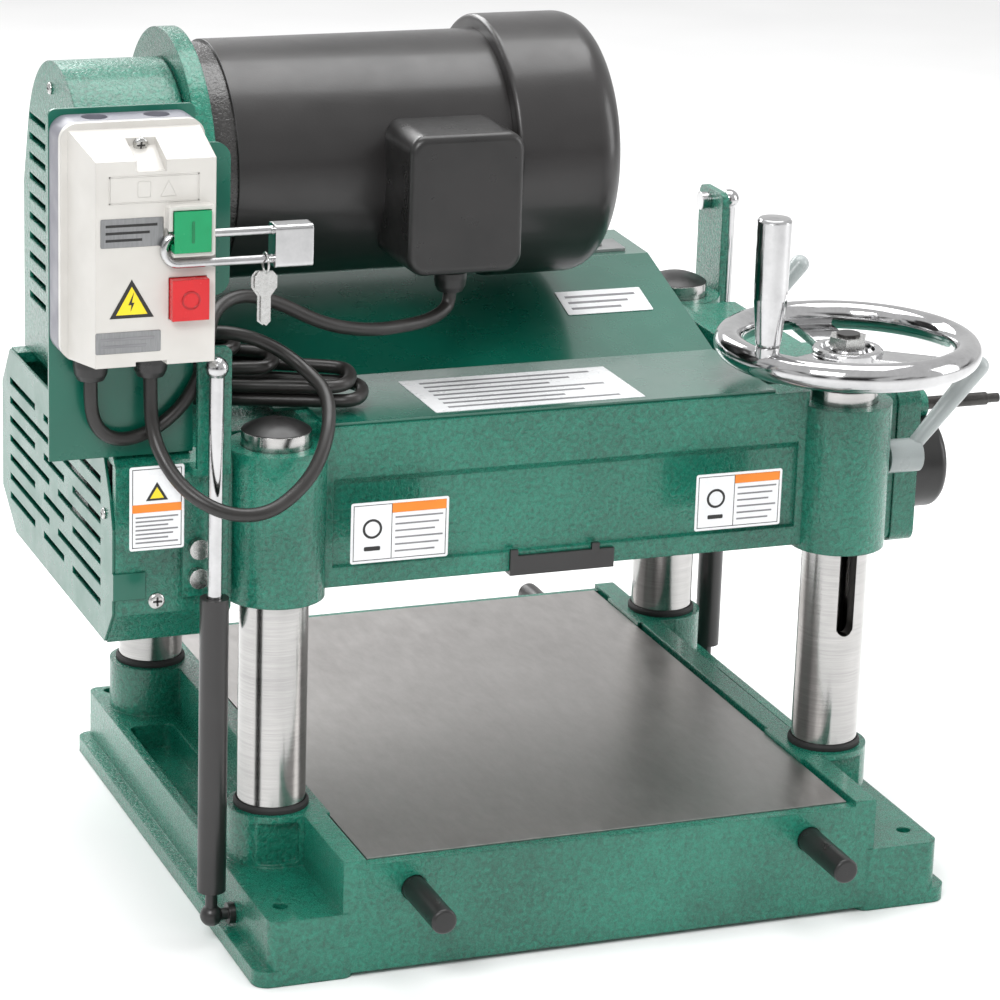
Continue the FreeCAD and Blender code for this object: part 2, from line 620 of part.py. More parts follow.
def make_top_cover():
    main = prism("cover_main", "YZ", cover_outline(False), ("-stock_half_width", "cover_right"))
    side = prism("cover_side", "YZ", cover_outline(False), ("cover_left", "-stock_half_width + 1"))
    trim = block("cover_trim", ("cover_left - 1", "-stock_half_width - 2"),
                 ("head_front - 1", "side_front + 4"), ("head_top - 1", "head_top + 30"))
    rear_trim = block("cover_rear_trim", ("cover_left - 1", "-stock_half_width - 2"),
                      ("side_back", "cover_back + 1"), ("head_top - 1", "cover_back_height + 1"))
    under = prism("cover_under", "YZ", cover_outline(True),
                  ("cover_left + cover_sheet", "cover_right - cover_sheet"))
    cover = cut("cover_cut", fuse("cover_blank", [main, side]), [trim, rear_trim, under])
    node(cover, "top_cover")

    strip = prism("strip", "YZ", [
        ("strip_front", "cover_brow_height + 0.25"), ("strip_back", "cover_brow_height + 1.05"),
        ("strip_back", "cover_brow_height + 3.6"), ("strip_front", "cover_brow_height + 2.8")],
        ("cover_left + 2", "strip_right"))
    node(strip, "cover_strip")


# ---------------------------------------------------------------- cutting and feeding

def make_feed_parts():
    side = "stock_half_width - 1.5"
    drum = rod("cutter_drum", "x", ("cutter_y", "cutter_z"), "cutter_radius",
               (f"-({side})", side))
    shaft = rod("cutter_shaft_bar", "x", ("cutter_y", "cutter_z"), "cutter_shaft",
                ("pulley_left", "side_outer - 25"))
    pulley = rod("cutter_pulley_disc", "x", ("cutter_y", "cutter_z"), "cutter_pulley",
                 ("pulley_left", "pulley_right"))
    gullets = []
    for index in range(3):
        turn = math.radians(120 * index + 20)
        reach = size("cutter_radius") + 2
        gullets.append(rod(f"gullet_{index}", "x",
                           (f"cutter_y + ({reach * math.cos(turn):.4f})",
                            f"cutter_z + ({reach * math.sin(turn):.4f})"),
                           "6", (f"-({side}) - 1", f"{side} + 1")))
    drum = cut("cutter_head_drum", drum, gullets)
    node(fuse("cutter", [drum, shaft, pulley]), "cutterhead")

    for name, y in (("infeed", "infeed_y"), ("outfeed", "outfeed_y")):
        roller = rod(f"{name}_drum", "x", (y, "roller_z"), "roller_radius", (f"-({side})", side))
        journal = rod(f"{name}_journal", "x", (y, "roller_z"), "journal_radius",
                      ("-side_outer + 34", "side_outer - 24"))
        node(fuse(name, [roller, journal]), f"{name}_roller")

    breaker = prism("breaker", "YZ", [("-14", "263"), ("-9.5", "256"), ("-9.5", "300"),
                    ("-2", "335"), ("-14", "335")], (f"-({side})", side))
    bar = prism("pressure_bar", "YZ", [("69.5", "256"), ("76", "256"), ("80", "266"),
                ("80", "335"), ("69.5", "335")], (f"-({side})", side))
    hanger = [block("breaker_hanger", ("-stock_half_width", "stock_half_width"),
                    ("-14", "80"), ("335", "343"))]
    node(fuse("breaker_and_bar", [breaker, bar] + hanger), "breaker_and_pressure_bar")

    fingers = [rod("finger_rod", "x", ("finger_y", "finger_z"), "5",
                   ("-stock_half_width - 7", "stock_half_width + 7"))]
    count = int(size("finger_count"))
    pitch = (2 * size("stock_half_width") - 26) / (count - 1)
    for index in range(count):
        left = -size("stock_half_width") + 10 + pitch * index
        fingers.append(prism(f"finger_{index}", "YZ", [
            ("finger_y - 8", "finger_z - 6"), ("finger_y - 6", "finger_z + 8"),
            ("finger_y + 6", "finger_z + 8"), ("finger_y + 8", "finger_z - 6"),
            ("finger_y + 9", "finger_z - finger_length"),
            ("finger_y - 3", "finger_z - finger_length")],
            (f"{left:.3f}", f"{left:.3f} + finger_thick")))
    node(fuse("fingers", fingers), "kickback_fingers")


# ---------------------------------------------------------------- motor and drive

def make_motor():
    centre = ("motor_y", "motor_z")
    disc = rod("plate_disc", "x", centre, "disc_radius", ("disc_left", "motor_left"))
    leg = block("plate_leg", ("disc_left", "motor_left"), ("motor_y - 62", "motor_y + 62"),
                ("head_top", "motor_z"))
    eye = rod("plate_eye", "x", centre, "30", ("disc_left - 1", "motor_left + 1"))
    column_way = rod("plate_column_way", "z", ("-column_x", "column_rear"), "column_radius + 1.5",
                     ("motor_z - disc_radius - 1", "column_top + cap_rise + head_travel + 2"))
    node(cut("plate_cut", fuse("plate_blank", [disc, leg]), [eye, column_way]), "motor_plate")

    bell = rod("bell", "x", centre, "bell_radius", ("motor_left", "bell_right"))
    bell_bore = rod("bell_bore", "x", centre, "16", ("motor_left - 1", "bell_right + 1"))
    node(cut("bell_cut", bell, [bell_bore]), "motor_end_bell")
    shell = rod("motor_shell", "x", centre, "motor_radius", ("bell_right", "fan_cover_left"))
    bore = rod("motor_shell_bore", "x", centre, "60", ("bell_right - 1", "fan_cover_left + 1"))
    node(cut("motor_cut", shell, [bore]), "motor_body")

    fan = rod("fan_drum", "x", centre, "fan_cover_radius", ("fan_cover_left", "fan_cover_right"))
    right = size("fan_cover_right")
    left = size("fan_cover_left")
    fan = rounded("fan_drum_round", fan, 22, None, lambda middle: abs(middle.x - right) < 0.1)
    fan = rounded("fan_drum_edge", fan, 4, None, lambda middle: abs(middle.x - left) < 0.1)
    hollow = rod("fan_hollow", "x", centre, "fan_cover_radius - 24",
                 ("fan_cover_left - 1", "fan_cover_right - 4"))
    vents = []
    for ring, count in ((18, 6), (34, 10), (50, 14)):
        for index in range(count):
            turn = 2 * math.pi * index / count
            vents.append(rod(f"vent_{ring}_{index}", "x",
                             (f"motor_y + ({ring * math.cos(turn):.3f})",
                              f"motor_z + ({ring * math.sin(turn):.3f})"), "4",
                             ("fan_cover_right - 6", "fan_cover_right + 1")))
    node(cut("fan_cut", fan, [hollow] + vents), "motor_fan_cover")

    shaft = rod("rotor_shaft", "x", centre, "14", ("pulley_left", "fan_cover_left + 40"))
    core = rod("rotor_core", "x", centre, "52", ("bell_right + 20", "fan_cover_left - 30"))
    pulley = rod("rotor_pulley", "x", centre, "motor_pulley", ("pulley_left", "pulley_right"))
    fan_disc = rod("rotor_fan", "x", centre, "60", ("fan_cover_left + 14", "fan_cover_left + 40"))
    node(fuse("rotor", [shaft, core, pulley, fan_disc]), "motor_rotor")

    box = block("junction", ("-106", "-16"), ("-60", "30"), ("466", "572"))
    box = rounded("junction_round", box, 14, Y)
    front = -60.0
    box = rounded("junction_soft", box, 6, None, lambda middle: abs(middle.y - front) < 0.1)
    keep = rod("junction_seat", "x", centre, "motor_radius", ("-120", "0"))
    node(cut("junction_cut", box, [keep]), "junction_box")


def belt_slab(spread, low, high):
    """The outline of two circles and their outer tangents, padded along X."""
    upper = FreeCAD.Vector(low, size("motor_y"), size("motor_z"))
    lower = FreeCAD.Vector(low, size("cutter_y"), size("cutter_z"))
    big = size("motor_pulley") + spread
    small = size("cutter_pulley") + spread
    line = upper - lower
    length = line.Length
    along = math.atan2(line.z, line.y)
    lean = math.acos((small - big) / length)
    corners = []
    for turn, centre, radius in ((along + lean, lower, small), (along + lean, upper, big),
                                 (along - lean, upper, big), (along - lean, lower, small)):
        corners.append(centre + FreeCAD.Vector(0, radius * math.cos(turn), radius * math.sin(turn)))
    face = Part.Face(Part.makePolygon(corners + [corners[0]]))
    slab = face.extrude(FreeCAD.Vector(high - low, 0, 0))
    for centre, radius in ((upper, big), (lower, small)):
        slab = slab.fuse(Part.makeCylinder(radius, high - low, centre, X))
    return slab.removeSplitter()


def make_belts():
    belts = []
    for index in range(3):
        low = size("pulley_left") + 3 + index * size("belt_pitch")
        high = low + size("belt_width")
        outer = belt_slab(0.5 + size("belt_thick"), low, high)
        belts.append(outer.cut(belt_slab(0.5, low - 1, high + 1)))
    node(solid_feature("belt_set", Part.makeCompound(belts)), "drive_belts")


# ---------------------------------------------------------------- guards

def make_guards():
    outline = [("head_front + 1", "251"), ("-109", "housing_low + 1"), ("149", "housing_low + 1"),
               ("housing_back - 1", "251"), ("housing_back - 1", "336"), ("167", "housing_top - 1"),
               ("-104", "housing_top - 1"), ("-123", "335"), ("head_front + 1", "315")]
    face = prism("lower_face", "YZ", outline, ("guard_left", "-housing_outer"))
    pieces = [face, block("lower_tab", ("guard_left", "-housing_outer + 22"),
                          ("head_front - 1.5", "head_front"), ("262", "282")),
              block("lower_tab_turn", ("guard_left", "-housing_outer"),
                    ("head_front - 1.5", "head_front + 1.5"), ("262", "282"))]
    slots = []
    short_row = ((-99, -21), (3, 63), (89, 166))
    long_row = ((-99, 21), (46, 166))
    for row in range(7):
        height = f"(343 - {row} * slot_pitch)"
        for index, (low, high) in enumerate(long_row if row % 2 else short_row):
            slots.append(block(f"lower_slot_{row}_{index}", ("guard_left - 1", "-housing_outer + 1"),
                               (f"{low}", f"{high}"),
                               (f"{height} - slot_high / 2", f"{height} + slot_high / 2")))
    node(cut("lower_guard_cut", fuse("lower_guard", pieces), slots), "lower_belt_guard")

    shells = []
    for name, wall, span in (
            ("outer", "0", ("upper_guard_left", "upper_guard_right")),
            ("inner", "guard_wall", ("upper_guard_left + guard_wall", "upper_guard_right + 1"))):
        low = "housing_top" if name == "outer" else "housing_top - 1"
        arch = rod(f"{name}_arch", "x", ("arch_y", "arch_z"), f"arch_radius - {wall}", span)
        legs = block(f"{name}_legs", span, (f"arch_y - arch_radius + {wall}", f"arch_rear - {wall}"),
                     (low, "arch_z - 27"))
        shoulder = prism(f"{name}_shoulder", "YZ", [
            (f"arch_y - arch_radius + {wall}", "arch_z - 27.5"), (f"arch_rear - {wall}", "arch_z - 27.5"),
            (f"arch_y + (arch_radius - {wall}) * 0.96", f"arch_z + (arch_radius - {wall}) * 0.28"),
            (f"arch_y - arch_radius + {wall}", "arch_z")], span)
        shells.append(fuse(f"{name}_shell", [arch, legs, shoulder]))
    slots = []
    for row in range(10):
        height = f"(554.5 - {row} * slot_pitch)"
        slots.append(block(f"upper_slot_{row}", ("upper_guard_left - 1",
                           "upper_guard_left + guard_wall + 1"), ("105", "105 + slot_length"),
                           (f"{height} - slot_high / 2", f"{height} + slot_high / 2")))
    node(cut("upper_guard_cut", shells[0], [shells[1]] + slots), "upper_belt_guard")


def make_gearbox():
    span_y = ("gearbox_front", "gearbox_back")
    span_z = ("gearbox_low", "gearbox_top")
    box = block("gearbox_block", ("gearbox_left", "gearbox_seam - 0.6"), span_y, span_z)
    way = rod("gearbox_shift_way", "x", ("shift_y", "shift_z"), "shift_radius + 0.4",
              ("gearbox_left + 6", "gearbox_seam + 1"))
    node(cut("gearbox_cut", rounded("gearbox_round", box, 10, X), [way]), "gearbox")
    lid = block("gearbox_lid", ("gearbox_seam - 0.6", "gearbox_right"),
                ("gearbox_front - 1.5", "gearbox_back + 1.5"), ("gearbox_low - 1.5", "gearbox_top + 1.5"))
    boss = rod("shift_boss_rod", "x", ("shift_y", "shift_z"), "shift_boss",
               ("gearbox_right - 1", "shift_boss_right"))
    lid_way = rod("lid_shift_way", "x", ("shift_y", "shift_z"), "shift_radius + 0.4",
                  ("gearbox_seam - 1", "shift_boss_right + 1"))
    lid = rounded("gearbox_lid_round", lid, 11, X)
    node(cut("gearbox_lid_cut", fuse("gearbox_lid_boss", [lid, boss]), [lid_way]), "gearbox_cover")

    cap = rod("round_cap", "x", ("cap_y", "cap_z"), "cap_radius", ("gearbox_right", "cap_right"))
    right = size("cap_right")
    cap = rounded("round_cap_soft", cap, 7, None, lambda middle: abs(middle.x - right) < 0.1)
    clear = rod("round_cap_clear", "x", ("shift_y", "shift_z"), "shift_boss + 0.4",
                ("gearbox_right - 1", "cap_right + 1"))
    node(cut("round_cap_cut", cap, [clear]), "gearbox_cap")

    shaft = rod("shift_bar", "x", ("shift_y", "shift_z"), "shift_radius",
                ("gearbox_left + 34", "shift_right - shift_thread_long"))
    thread = rod("shift_thread_end", "x", ("shift_y", "shift_z"), "shift_thread",
                 ("shift_right - shift_thread_long - 1", "shift_right"))
    node(fuse("shift", [shaft, thread]), "feed_shaft")


# ---------------------------------------------------------------- struts

def make_struts():
    cylinders = []
    rods = []
    for name, x, y, sign in (("front", "-strut_x", "strut_front", -1),
                             ("rear", "strut_x", "strut_rear", 1)):
        tube = rod(f"strut_tube_{name}", "z", (x, y), "cylinder_radius",
                   ("cylinder_low", "cylinder_top"))
        way = rod(f"strut_way_{name}", "z", (x, y), "rod_radius + 0.4",
                  ("cylinder_low + 6", "cylinder_top + 1"))
        neck = rod(f"strut_neck_{name}", "z", (x, y), "4.5", ("strut_low", "cylinder_low + 1"))
        low_ball = ball(f"strut_low_ball_{name}", x, y, "strut_low", "strut_ball")
        stud = ("foot_outer", "strut_x") if sign > 0 else ("-strut_x", "-foot_outer")
        low_stud = rod(f"strut_low_stud_{name}", "x", (y, "strut_low"), "4.5", stud)
        collar = ("foot_outer", "foot_outer + 5") if sign > 0 else ("-foot_outer - 5", "-foot_outer")
        low_collar = rod(f"strut_low_collar_{name}", "x", (y, "strut_low"), "8", collar)
        cylinders.append(cut(f"strut_cylinder_{name}", fuse(f"strut_lower_{name}",
                         [tube, neck, low_ball, low_stud, low_collar]), [way]))

        bar = rod(f"strut_rod_{name}", "z", (x, y), "rod_radius", ("rod_low", "strut_high"))
        high_ball = ball(f"strut_high_ball_{name}", x, y, "strut_high", "strut_ball")
        if sign < 0:
            high_stud = rod("strut_high_stud_front", "y", (x, "strut_high"), "4.5",
                            ("strut_front", "upright_front"))
            back = "upright_front + upright_thick"
            high_nut = rod("strut_nut_front", "y", (x, "strut_high"), "7.5",
                           (back, f"{back} + 3.5"))
        else:
            high_stud = rod("strut_high_stud_rear", "x", (y, "strut_high"), "4.5",
                            ("side_plate_right", "strut_x"))
            high_nut = rod("strut_nut_rear", "x", (y, "strut_high"), "7.5",
                           ("side_plate_left - 8", "side_plate_left"))
        rods += [fuse(f"strut_upper_{name}", [bar, high_ball, high_stud]), high_nut]
    node(group("strut_cylinder_pair", cylinders), "strut_cylinders")
    node(group("strut_rod_pair", rods), "strut_rods")


def make_brackets():
    top = size("bracket_top")
    foot = block("foot_plate", ("-300", "-266"),
                 ("head_front - foot_plate_thick", "head_front"), ("262", "ledge_low + 1"))
    ledge = block("foot_ledge", ("-296", "-268"), ("upright_front", "head_front"),
                  ("ledge_low", "ledge_low + 6"))
    upright = block("upright_plate", ("-292.5", "-268"),
                    ("upright_front", "upright_front + upright_thick"), ("ledge_low", "bracket_top"))
    upright = rounded("upright_round", upright, 5, Y, lambda middle: middle.z > top - 1)
    front = fuse("bracket_front", [foot, ledge, upright])

    side_x = ("side_plate_left", "side_plate_right")
    plate = block("side_plate", side_x, ("lug_back - 48", "lug_back"), ("348", "bracket_top"))
    plate = rounded("side_plate_round", plate, 8, X, lambda middle: middle.z > top - 1)
    leg = block("side_plate_leg", side_x, ("lug_front + 1", "lug_back"), ("262", "349"))
    rear = fuse("bracket_rear", [plate, leg])
    node(group("bracket_pair", [front, rear]), "strut_brackets")

    bolts = []
    for index, height in enumerate(("277", "299")):
        bolts.append(rod(f"bolt_front_{index}", "y", ("-289", height), "7.5",
                         ("head_front - foot_plate_thick - 6.5", "head_front - foot_plate_thick")))
    for index, height in enumerate(("282", "322")):
        bolts.append(rod(f"bolt_rear_{index}", "x", ("lug_back - 6", height), "6",
                         ("side_plate_right", "side_plate_right + 3.5")))
    node(group("bolt_set", bolts), "bracket_bolts")


# ---------------------------------------------------------------- switch and padlock

def make_switch():
    front = "plate_y - plate_thick"
    sheet_plate = block("plate_sheet", ("plate_left", "plate_right"), (front, "plate_y"),
                        ("housing_top", "plate_top"))
    top = size("plate_top")
    sheet_plate = rounded("plate_sheet_round", sheet_plate, 5, Y, lambda middle: middle.z > top - 1)
    wing = block("plate_wing", ("plate_right - 1", "plate_right + 26"), (front, "plate_y"),
                 ("482", "592"))
    wing_edge = size("plate_right") + 20
    wing = rounded("plate_wing_round", wing, 12, Y, lambda middle: middle.x > wing_edge)
    tab = block("plate_tab", ("-housing_outer + 1", "plate_right"), (front, "plate_y + 26"),
                ("housing_top", "housing_top + 3"))
    node(fuse("plate", [sheet_plate, wing, tab]), "switch_plate")

    span_x = ("switch_left", "switch_right")
    span_z = ("switch_low", "switch_top")
    back = block("switch_back", span_x, ("switch_seam + 0.5", front), span_z)
    back = rounded("switch_back_round", back, 12, Y)
    holes = [rod(f"knock_out_{index}", "z", (x, "switch_seam + 14"), "9",
                 ("switch_top - 4", "switch_top + 1")) for index, x in enumerate(("-366", "-322"))]
    node(cut("switch_back_cut", back, holes), "switch_base")

    rim = block("switch_rim", span_x, ("switch_seam - 5", "switch_seam + 0.5"), span_z)
    rim = rounded("switch_rim_round", rim, 12, Y)
    taper = prism("switch_taper", "YZ", [
        ("switch_seam - 4", "switch_low + 2"), ("switch_seam - 4", "switch_top - 4"),
        ("switch_face", "switch_top - 18.5"), ("switch_face", "switch_low + 5")],
        ("switch_left + 5", "switch_right - 4"))
    side_trim = prism("switch_side_trim", "XY", [
        ("switch_left - 1", "switch_seam - 4"), ("switch_left + 5", "switch_seam - 4"),
        ("switch_left + 14", "switch_face - 1"), ("switch_left - 1", "switch_face - 1")],
        ("switch_low - 1", "switch_top + 1"))
    bezel = block("start_bezel", ("button_x - 16.3", "button_x + 16.3"),
                  ("switch_face - 9.5", "switch_face + 2"),
                  ("start_z - button_rise - 3.3", "start_z + button_rise + 3.3"))
    bezel = rounded("start_bezel_round", bezel, 2, Y)
    shell = fuse("switch_shell", [rim, cut("switch_taper_cut", taper, [side_trim]), bezel])
    wells = [block(f"{name}_well", ("button_x - button_half - 0.5", "button_x + button_half + 0.5"),
                   ("switch_face - 12", "switch_face + 14"),
                   (f"{z} - button_rise - 0.5", f"{z} + button_rise + 0.5"))
             for name, z in (("start", "start_z"), ("stop", "stop_z"))]
    notch = prism("switch_notch", "YZ", [
        ("switch_face - 1", "switch_top - 26"), ("switch_face + 4", "switch_top - 26"),
        ("switch_face + 28", "switch_top - 14"), ("switch_face + 28", "switch_top - 5"),
        ("switch_face - 1", "switch_top - 5")], ("switch_left + 42", "switch_left + 63"))
    gland_notch = block("switch_gland_notch", ("switch_left + 42", "switch_left + 64"),
                        ("switch_face - 1", "switch_face + 16"), ("switch_low + 1", "switch_low + 8"))
    shackle_way = rod("shackle_way", "x", ("shackle_y", "shackle_high"), "shackle_radius + 2.4",
                      ("button_x - 17", "button_x + 17"))
    bow_way = block("bow_way", ("button_x - 17", "button_x - button_half"),
                    ("switch_face - 10", "shackle_y + shackle_radius + 0.5"),
                    ("start_z - button_rise - 4", "shackle_high + shackle_radius + 1"))
    node(cut("switch_cover_cut", shell, wells + [notch, gland_notch, shackle_way, bow_way]),
         "switch_cover")

    for name, z, proud in (("start", "start_z", "12"), ("stop", "stop_z", "8")):
        button = block(f"{name}_cap", ("button_x - button_half", "button_x + button_half"),
                       (f"switch_face - {proud}", "switch_face + 8"),
                       (f"{z} - button_rise", f"{z} + button_rise"))
        if name == "start":
            channel = block("start_channel", ("button_x - button_half - 1", "button_x + button_half + 1"),
                            ("shackle_y - shackle_radius - 4", "shackle_y + shackle_radius + 2"),
                            ("shackle_high - shackle_radius - 3", "shackle_high + shackle_radius + 2"))
            button = cut("start_cap_cut", button, [channel])
        node(button, f"{name}_button")


def make_padlock():
    legs = [rod(f"{name}_leg", "x", ("shackle_y", name), "shackle_radius",
                ("shackle_bow", "lock_left + 2")) for name in ("shackle_high", "shackle_low")]
    bow = doc.addObject("Part::Torus", "shackle_bow_ring")
    bind(bow, "Radius1", "(shackle_high - shackle_low) / 2")
    bind(bow, "Radius2", "shackle_radius")
    bow.Angle3 = 180
    bow.Placement.Rotation = FreeCAD.Rotation(Y, -90).multiply(FreeCAD.Rotation(X, 90))
    place(bow, "shackle_bow", "shackle_y", "(shackle_high + shackle_low) / 2")
    body = block("lock_body", ("lock_left", "lock_right"), ("shackle_y - 9", "shackle_y + 8"),
                 ("shackle_low - 5", "shackle_high + 4.6"))
    body = rounded("lock_body_round", body, 3, X)
    node(fuse("lock", legs + [bow, body]), "padlock")

    ring = doc.addObject("Part::Torus", "key_ring")
    ring.Radius1 = 7
    ring.Radius2 = 0.8
    ring.Placement.Rotation = FreeCAD.Rotation(Y, 90)
    place(ring, "key_x", "shackle_y", "shackle_low - 2.8")
    keys = [ring]
    for index, (aside, deep) in enumerate(((0, -1.7), (-2, 0.3))):
        middle = f"(key_x + {aside})"
        outline = [(-8, -20), (-8, -12), (-5, -8.4), (5, -8.4), (8, -12), (8, -20), (3.5, -26),
                   (3.5, -44), (0.5, -47), (-3.5, -44), (-3.5, -26)]
        keys.append(prism(f"key_{index}", "XZ", [
            (f"{middle} + ({across})", f"shackle_low + ({along})") for across, along in outline],
            (f"shackle_y + ({deep})", f"shackle_y + ({deep}) + 1.4")))
    node(fuse("key_set", keys), "padlock_keys")


def make_levers():
    for name, y in (("front", "column_front"), ("rear", "column_rear")):
        hub = rod(f"lever_hub_{name}", "x", (y, "lever_z"), "lever_hub",
                  ("side_outer + 0.4", "lever_hub_right"))
        stud = rod(f"lever_stud_{name}", "x", (y, "lever_z"), "6",
                   ("side_outer - 10.8", "side_outer + 2"))
        low = FreeCAD.Vector(size("lever_hub_right") - 10, size(y), size("lever_z"))
        high = FreeCAD.Vector(size("lever_hub_right") + 46, size(y) - 4, size("lever_z") + 68)
        axis = high - low
        arm = Part.makeCone(5.5, 8.0, axis.Length, low, axis)
        tip = Part.makeSphere(8.0, high)
        lever = solid_feature(f"lever_arm_{name}", arm.fuse(tip))
        node(fuse(f"lever_{name}", [hub, stud, lever]), f"lock_lever_{name}")


# ---------------------------------------------------------------- cords

GLANDS = {
    "left": (-369.0, -142.0, 450.0),
    "right": (-326.0, -142.0, 450.0),
    "motor": (-62.0, -30.0, 466.0),
}
MOTOR_CORD = [(-369, -142, 431), (-369, -141, 415), (-366, -139, 399), (-358, -137.5, 388),
              (-345, -136, 383), (-330, -135, 385), (-314, -135, 393), (-301, -136, 405), (-291, -136, 420),
              (-283, -132, 436), (-278, -123, 450), (-272, -110, 461), (-260, -98, 468),
              (-244, -90, 470), (-226, -86, 466), (-208, -84, 458), (-190, -83, 448),
              (-171, -81, 440), (-151, -77, 435), (-131, -71, 432), (-112, -63, 431),
              (-95, -54, 430), (-81, -44, 430), (-70, -36, 432), (-62, -30, 437),
              (-62, -30, 447)]
POWER_CORD = [(-326, -142, 431), (-326, -142.5, 417), (-326, -144, 402), (-325, -149, 387), (-321, -159, 373),
              (-314, -173, 360), (-303, -185, 350), (-287, -193, 342), (-269, -196, 339),
              (-251, -194, 341), (-234, -188, 349), (-219, -181, 360), (-208, -172, 373),
              (-200, -160, 385), (-195, -147, 394), (-192, -134, 401)]
COIL_ENDS = ((-280.0, -39.0), (-168.0, -84.0))
COIL_HALF_WIDTH = 27.0
COIL_LOW = 381.0
COIL_TOP = ((-320.0, 440.0), (-250.0, 440.0), (-140.0, 403.0))
COIL_ENTRY = 0.93
COIL_ENTRY_HEIGHT = 405.0
COIL_ENTRY_RUN = 16.0


def cord_path(points):
    """Straight runs joined by tangent arcs, each as large as its two runs allow."""
    corners = [FreeCAD.Vector(*point) for point in points]
    edges = []
    start = corners[0]
    least = None
    for before, here, after in zip(corners, corners[1:], corners[2:]):
        into = here - before
        away = after - here
        turn = into.getAngle(away)
        shorter = min(into.Length, away.Length)
        radius = 0.45 * shorter / math.tan(turn / 2)
        least = radius if least is None else min(least, radius)
        reach = 0.45 * shorter
        first = here - into.normalize() * reach
        last = here + away.normalize() * reach
        side = (last - here).normalize() + (first - here).normalize()
        side.normalize()
        middle = here + side * (radius / math.cos(turn / 2) - radius)
        edges.append(Part.LineSegment(start, first).toShape())
        edges.append(Part.Arc(first, middle, last).toShape())
        start = last
    edges.append(Part.LineSegment(start, corners[-1]).toShape())
    return Part.Wire(edges), least


def cord_tube(name, label, points):
    path, least = cord_path(points)
    radius = size("cord_radius")
    direction = FreeCAD.Vector(*points[1]) - FreeCAD.Vector(*points[0])
    section = Part.Wire(Part.makeCircle(radius, FreeCAD.Vector(*points[0]), direction))
    tube = path.makePipeShell([section], True, False)
    expected = math.pi * radius ** 2 * path.Length
    print(f"{label}: least radius {least:.1f} mm, length {path.Length:.0f} mm, "
          f"volume {tube.Volume / expected:.4f} of section times length")
    node(solid_feature(name, tube), label)


def coil_frame():
    """The coil's two end centres, its long direction and its outward front direction."""
    start, finish = [FreeCAD.Vector(x, y, COIL_LOW) for x, y in COIL_ENDS]
    along = (finish - start).normalize()
    return start, finish, along, along.cross(Z)


def coil_shape():
    """A flat bundle with round ends, cut off above along a line that falls to the right."""
    start, finish, along, front = coil_frame()
    tallest = COIL_TOP[0][1] - COIL_LOW
    corners = [start + front * COIL_HALF_WIDTH, finish + front * COIL_HALF_WIDTH,
               finish - front * COIL_HALF_WIDTH, start - front * COIL_HALF_WIDTH]
    face = Part.Face(Part.makePolygon(corners + [corners[0]]))
    coil = face.extrude(Z * tallest)
    for end in (start, finish):
        coil = coil.fuse(Part.makeCylinder(COIL_HALF_WIDTH, tallest, end))
    above = [FreeCAD.Vector(x, -150, z) for x, z in COIL_TOP]
    above += [FreeCAD.Vector(-140, -150, 460), FreeCAD.Vector(-320, -150, 460)]
    wedge = Part.Face(Part.makePolygon(above + [above[0]])).extrude(Y * 200)
    return coil.removeSplitter().cut(wedge)


def power_cord_points():
    """The loop, then a last straight run square into the coil's front side."""
    start, finish, along, front = coil_frame()
    entry = start + (finish - start) * COIL_ENTRY + front * COIL_HALF_WIDTH
    entry.z = COIL_ENTRY_HEIGHT
    before = entry + front * COIL_ENTRY_RUN
    return POWER_CORD + [tuple(before), tuple(entry)]


def make_cords():
    glands = []
    for name, (x, y, top) in GLANDS.items():
        glands.append(turned(f"gland_{name}", [
            ("0", f"{top} - 19"), ("9.5", f"{top} - 19"), ("11.5", f"{top} - 15"), ("12.5", f"{top} - 9"),
            ("12.5", f"{top} - 4"), ("10", f"{top} - 4"), ("10", f"{top}"), ("0", f"{top}")],
            f"{x}", f"{y}", "0"))
    node(group("gland_set", glands), "cord_glands")
    cord_tube("motor_cord_tube", "motor_cord", MOTOR_CORD)
    cord_tube("power_cord_tube", "power_cord", power_cord_points())
    node(solid_feature("coil_shape", coil_shape()), "power_cord_coil")


# ---------------------------------------------------------------- build and write

def build():
    make_base()
    make_columns()
    make_lead_screws()
    make_chain()
    make_lift_bars()
    make_handwheel()
    make_headstock()
    make_top_cover()
    make_feed_parts()
    make_motor()
    make_belts()
    make_guards()
    make_gearbox()
    make_struts()
    make_brackets()
    make_switch()
    make_padlock()
    make_levers()
    make_cords()


def check_and_write():
    doc.recompute()
    for item in doc.Objects:
        bad = [word for word in item.State if word in ("Invalid", "Error")]
        if bad:
            raise RuntimeError(f"{item.Name} ({item.Label}) is {bad}")
    labels = [part.Label for part in PARTS]
    if len(set(labels)) != len(labels) or len(labels) > 60:
        raise RuntimeError("sub-part names repeat or are too many")
    for part in PARTS:
        if part.Shape.isNull() or not part.Shape.isValid():
            raise RuntimeError(f"{part.Label} has no valid shape")
    os.makedirs("parts", exist_ok=True)
    to_origin = -(size("hole_front") + size("hole_rear")) / 2
    for part in PARTS:
        piece = part.Shape.copy()
        piece.translate(FreeCAD.Vector(0, to_origin, 0))
        piece.exportStep(f"parts/{part.Label}.step")
        print(f"{part.Label}: {len(part.Shape.Solids)} solid(s), {part.Shape.Volume / 1000:.0f} cm3")


build()
check_and_write()
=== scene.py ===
import math

import bmesh
import bpy
from mathutils import Matrix, Vector


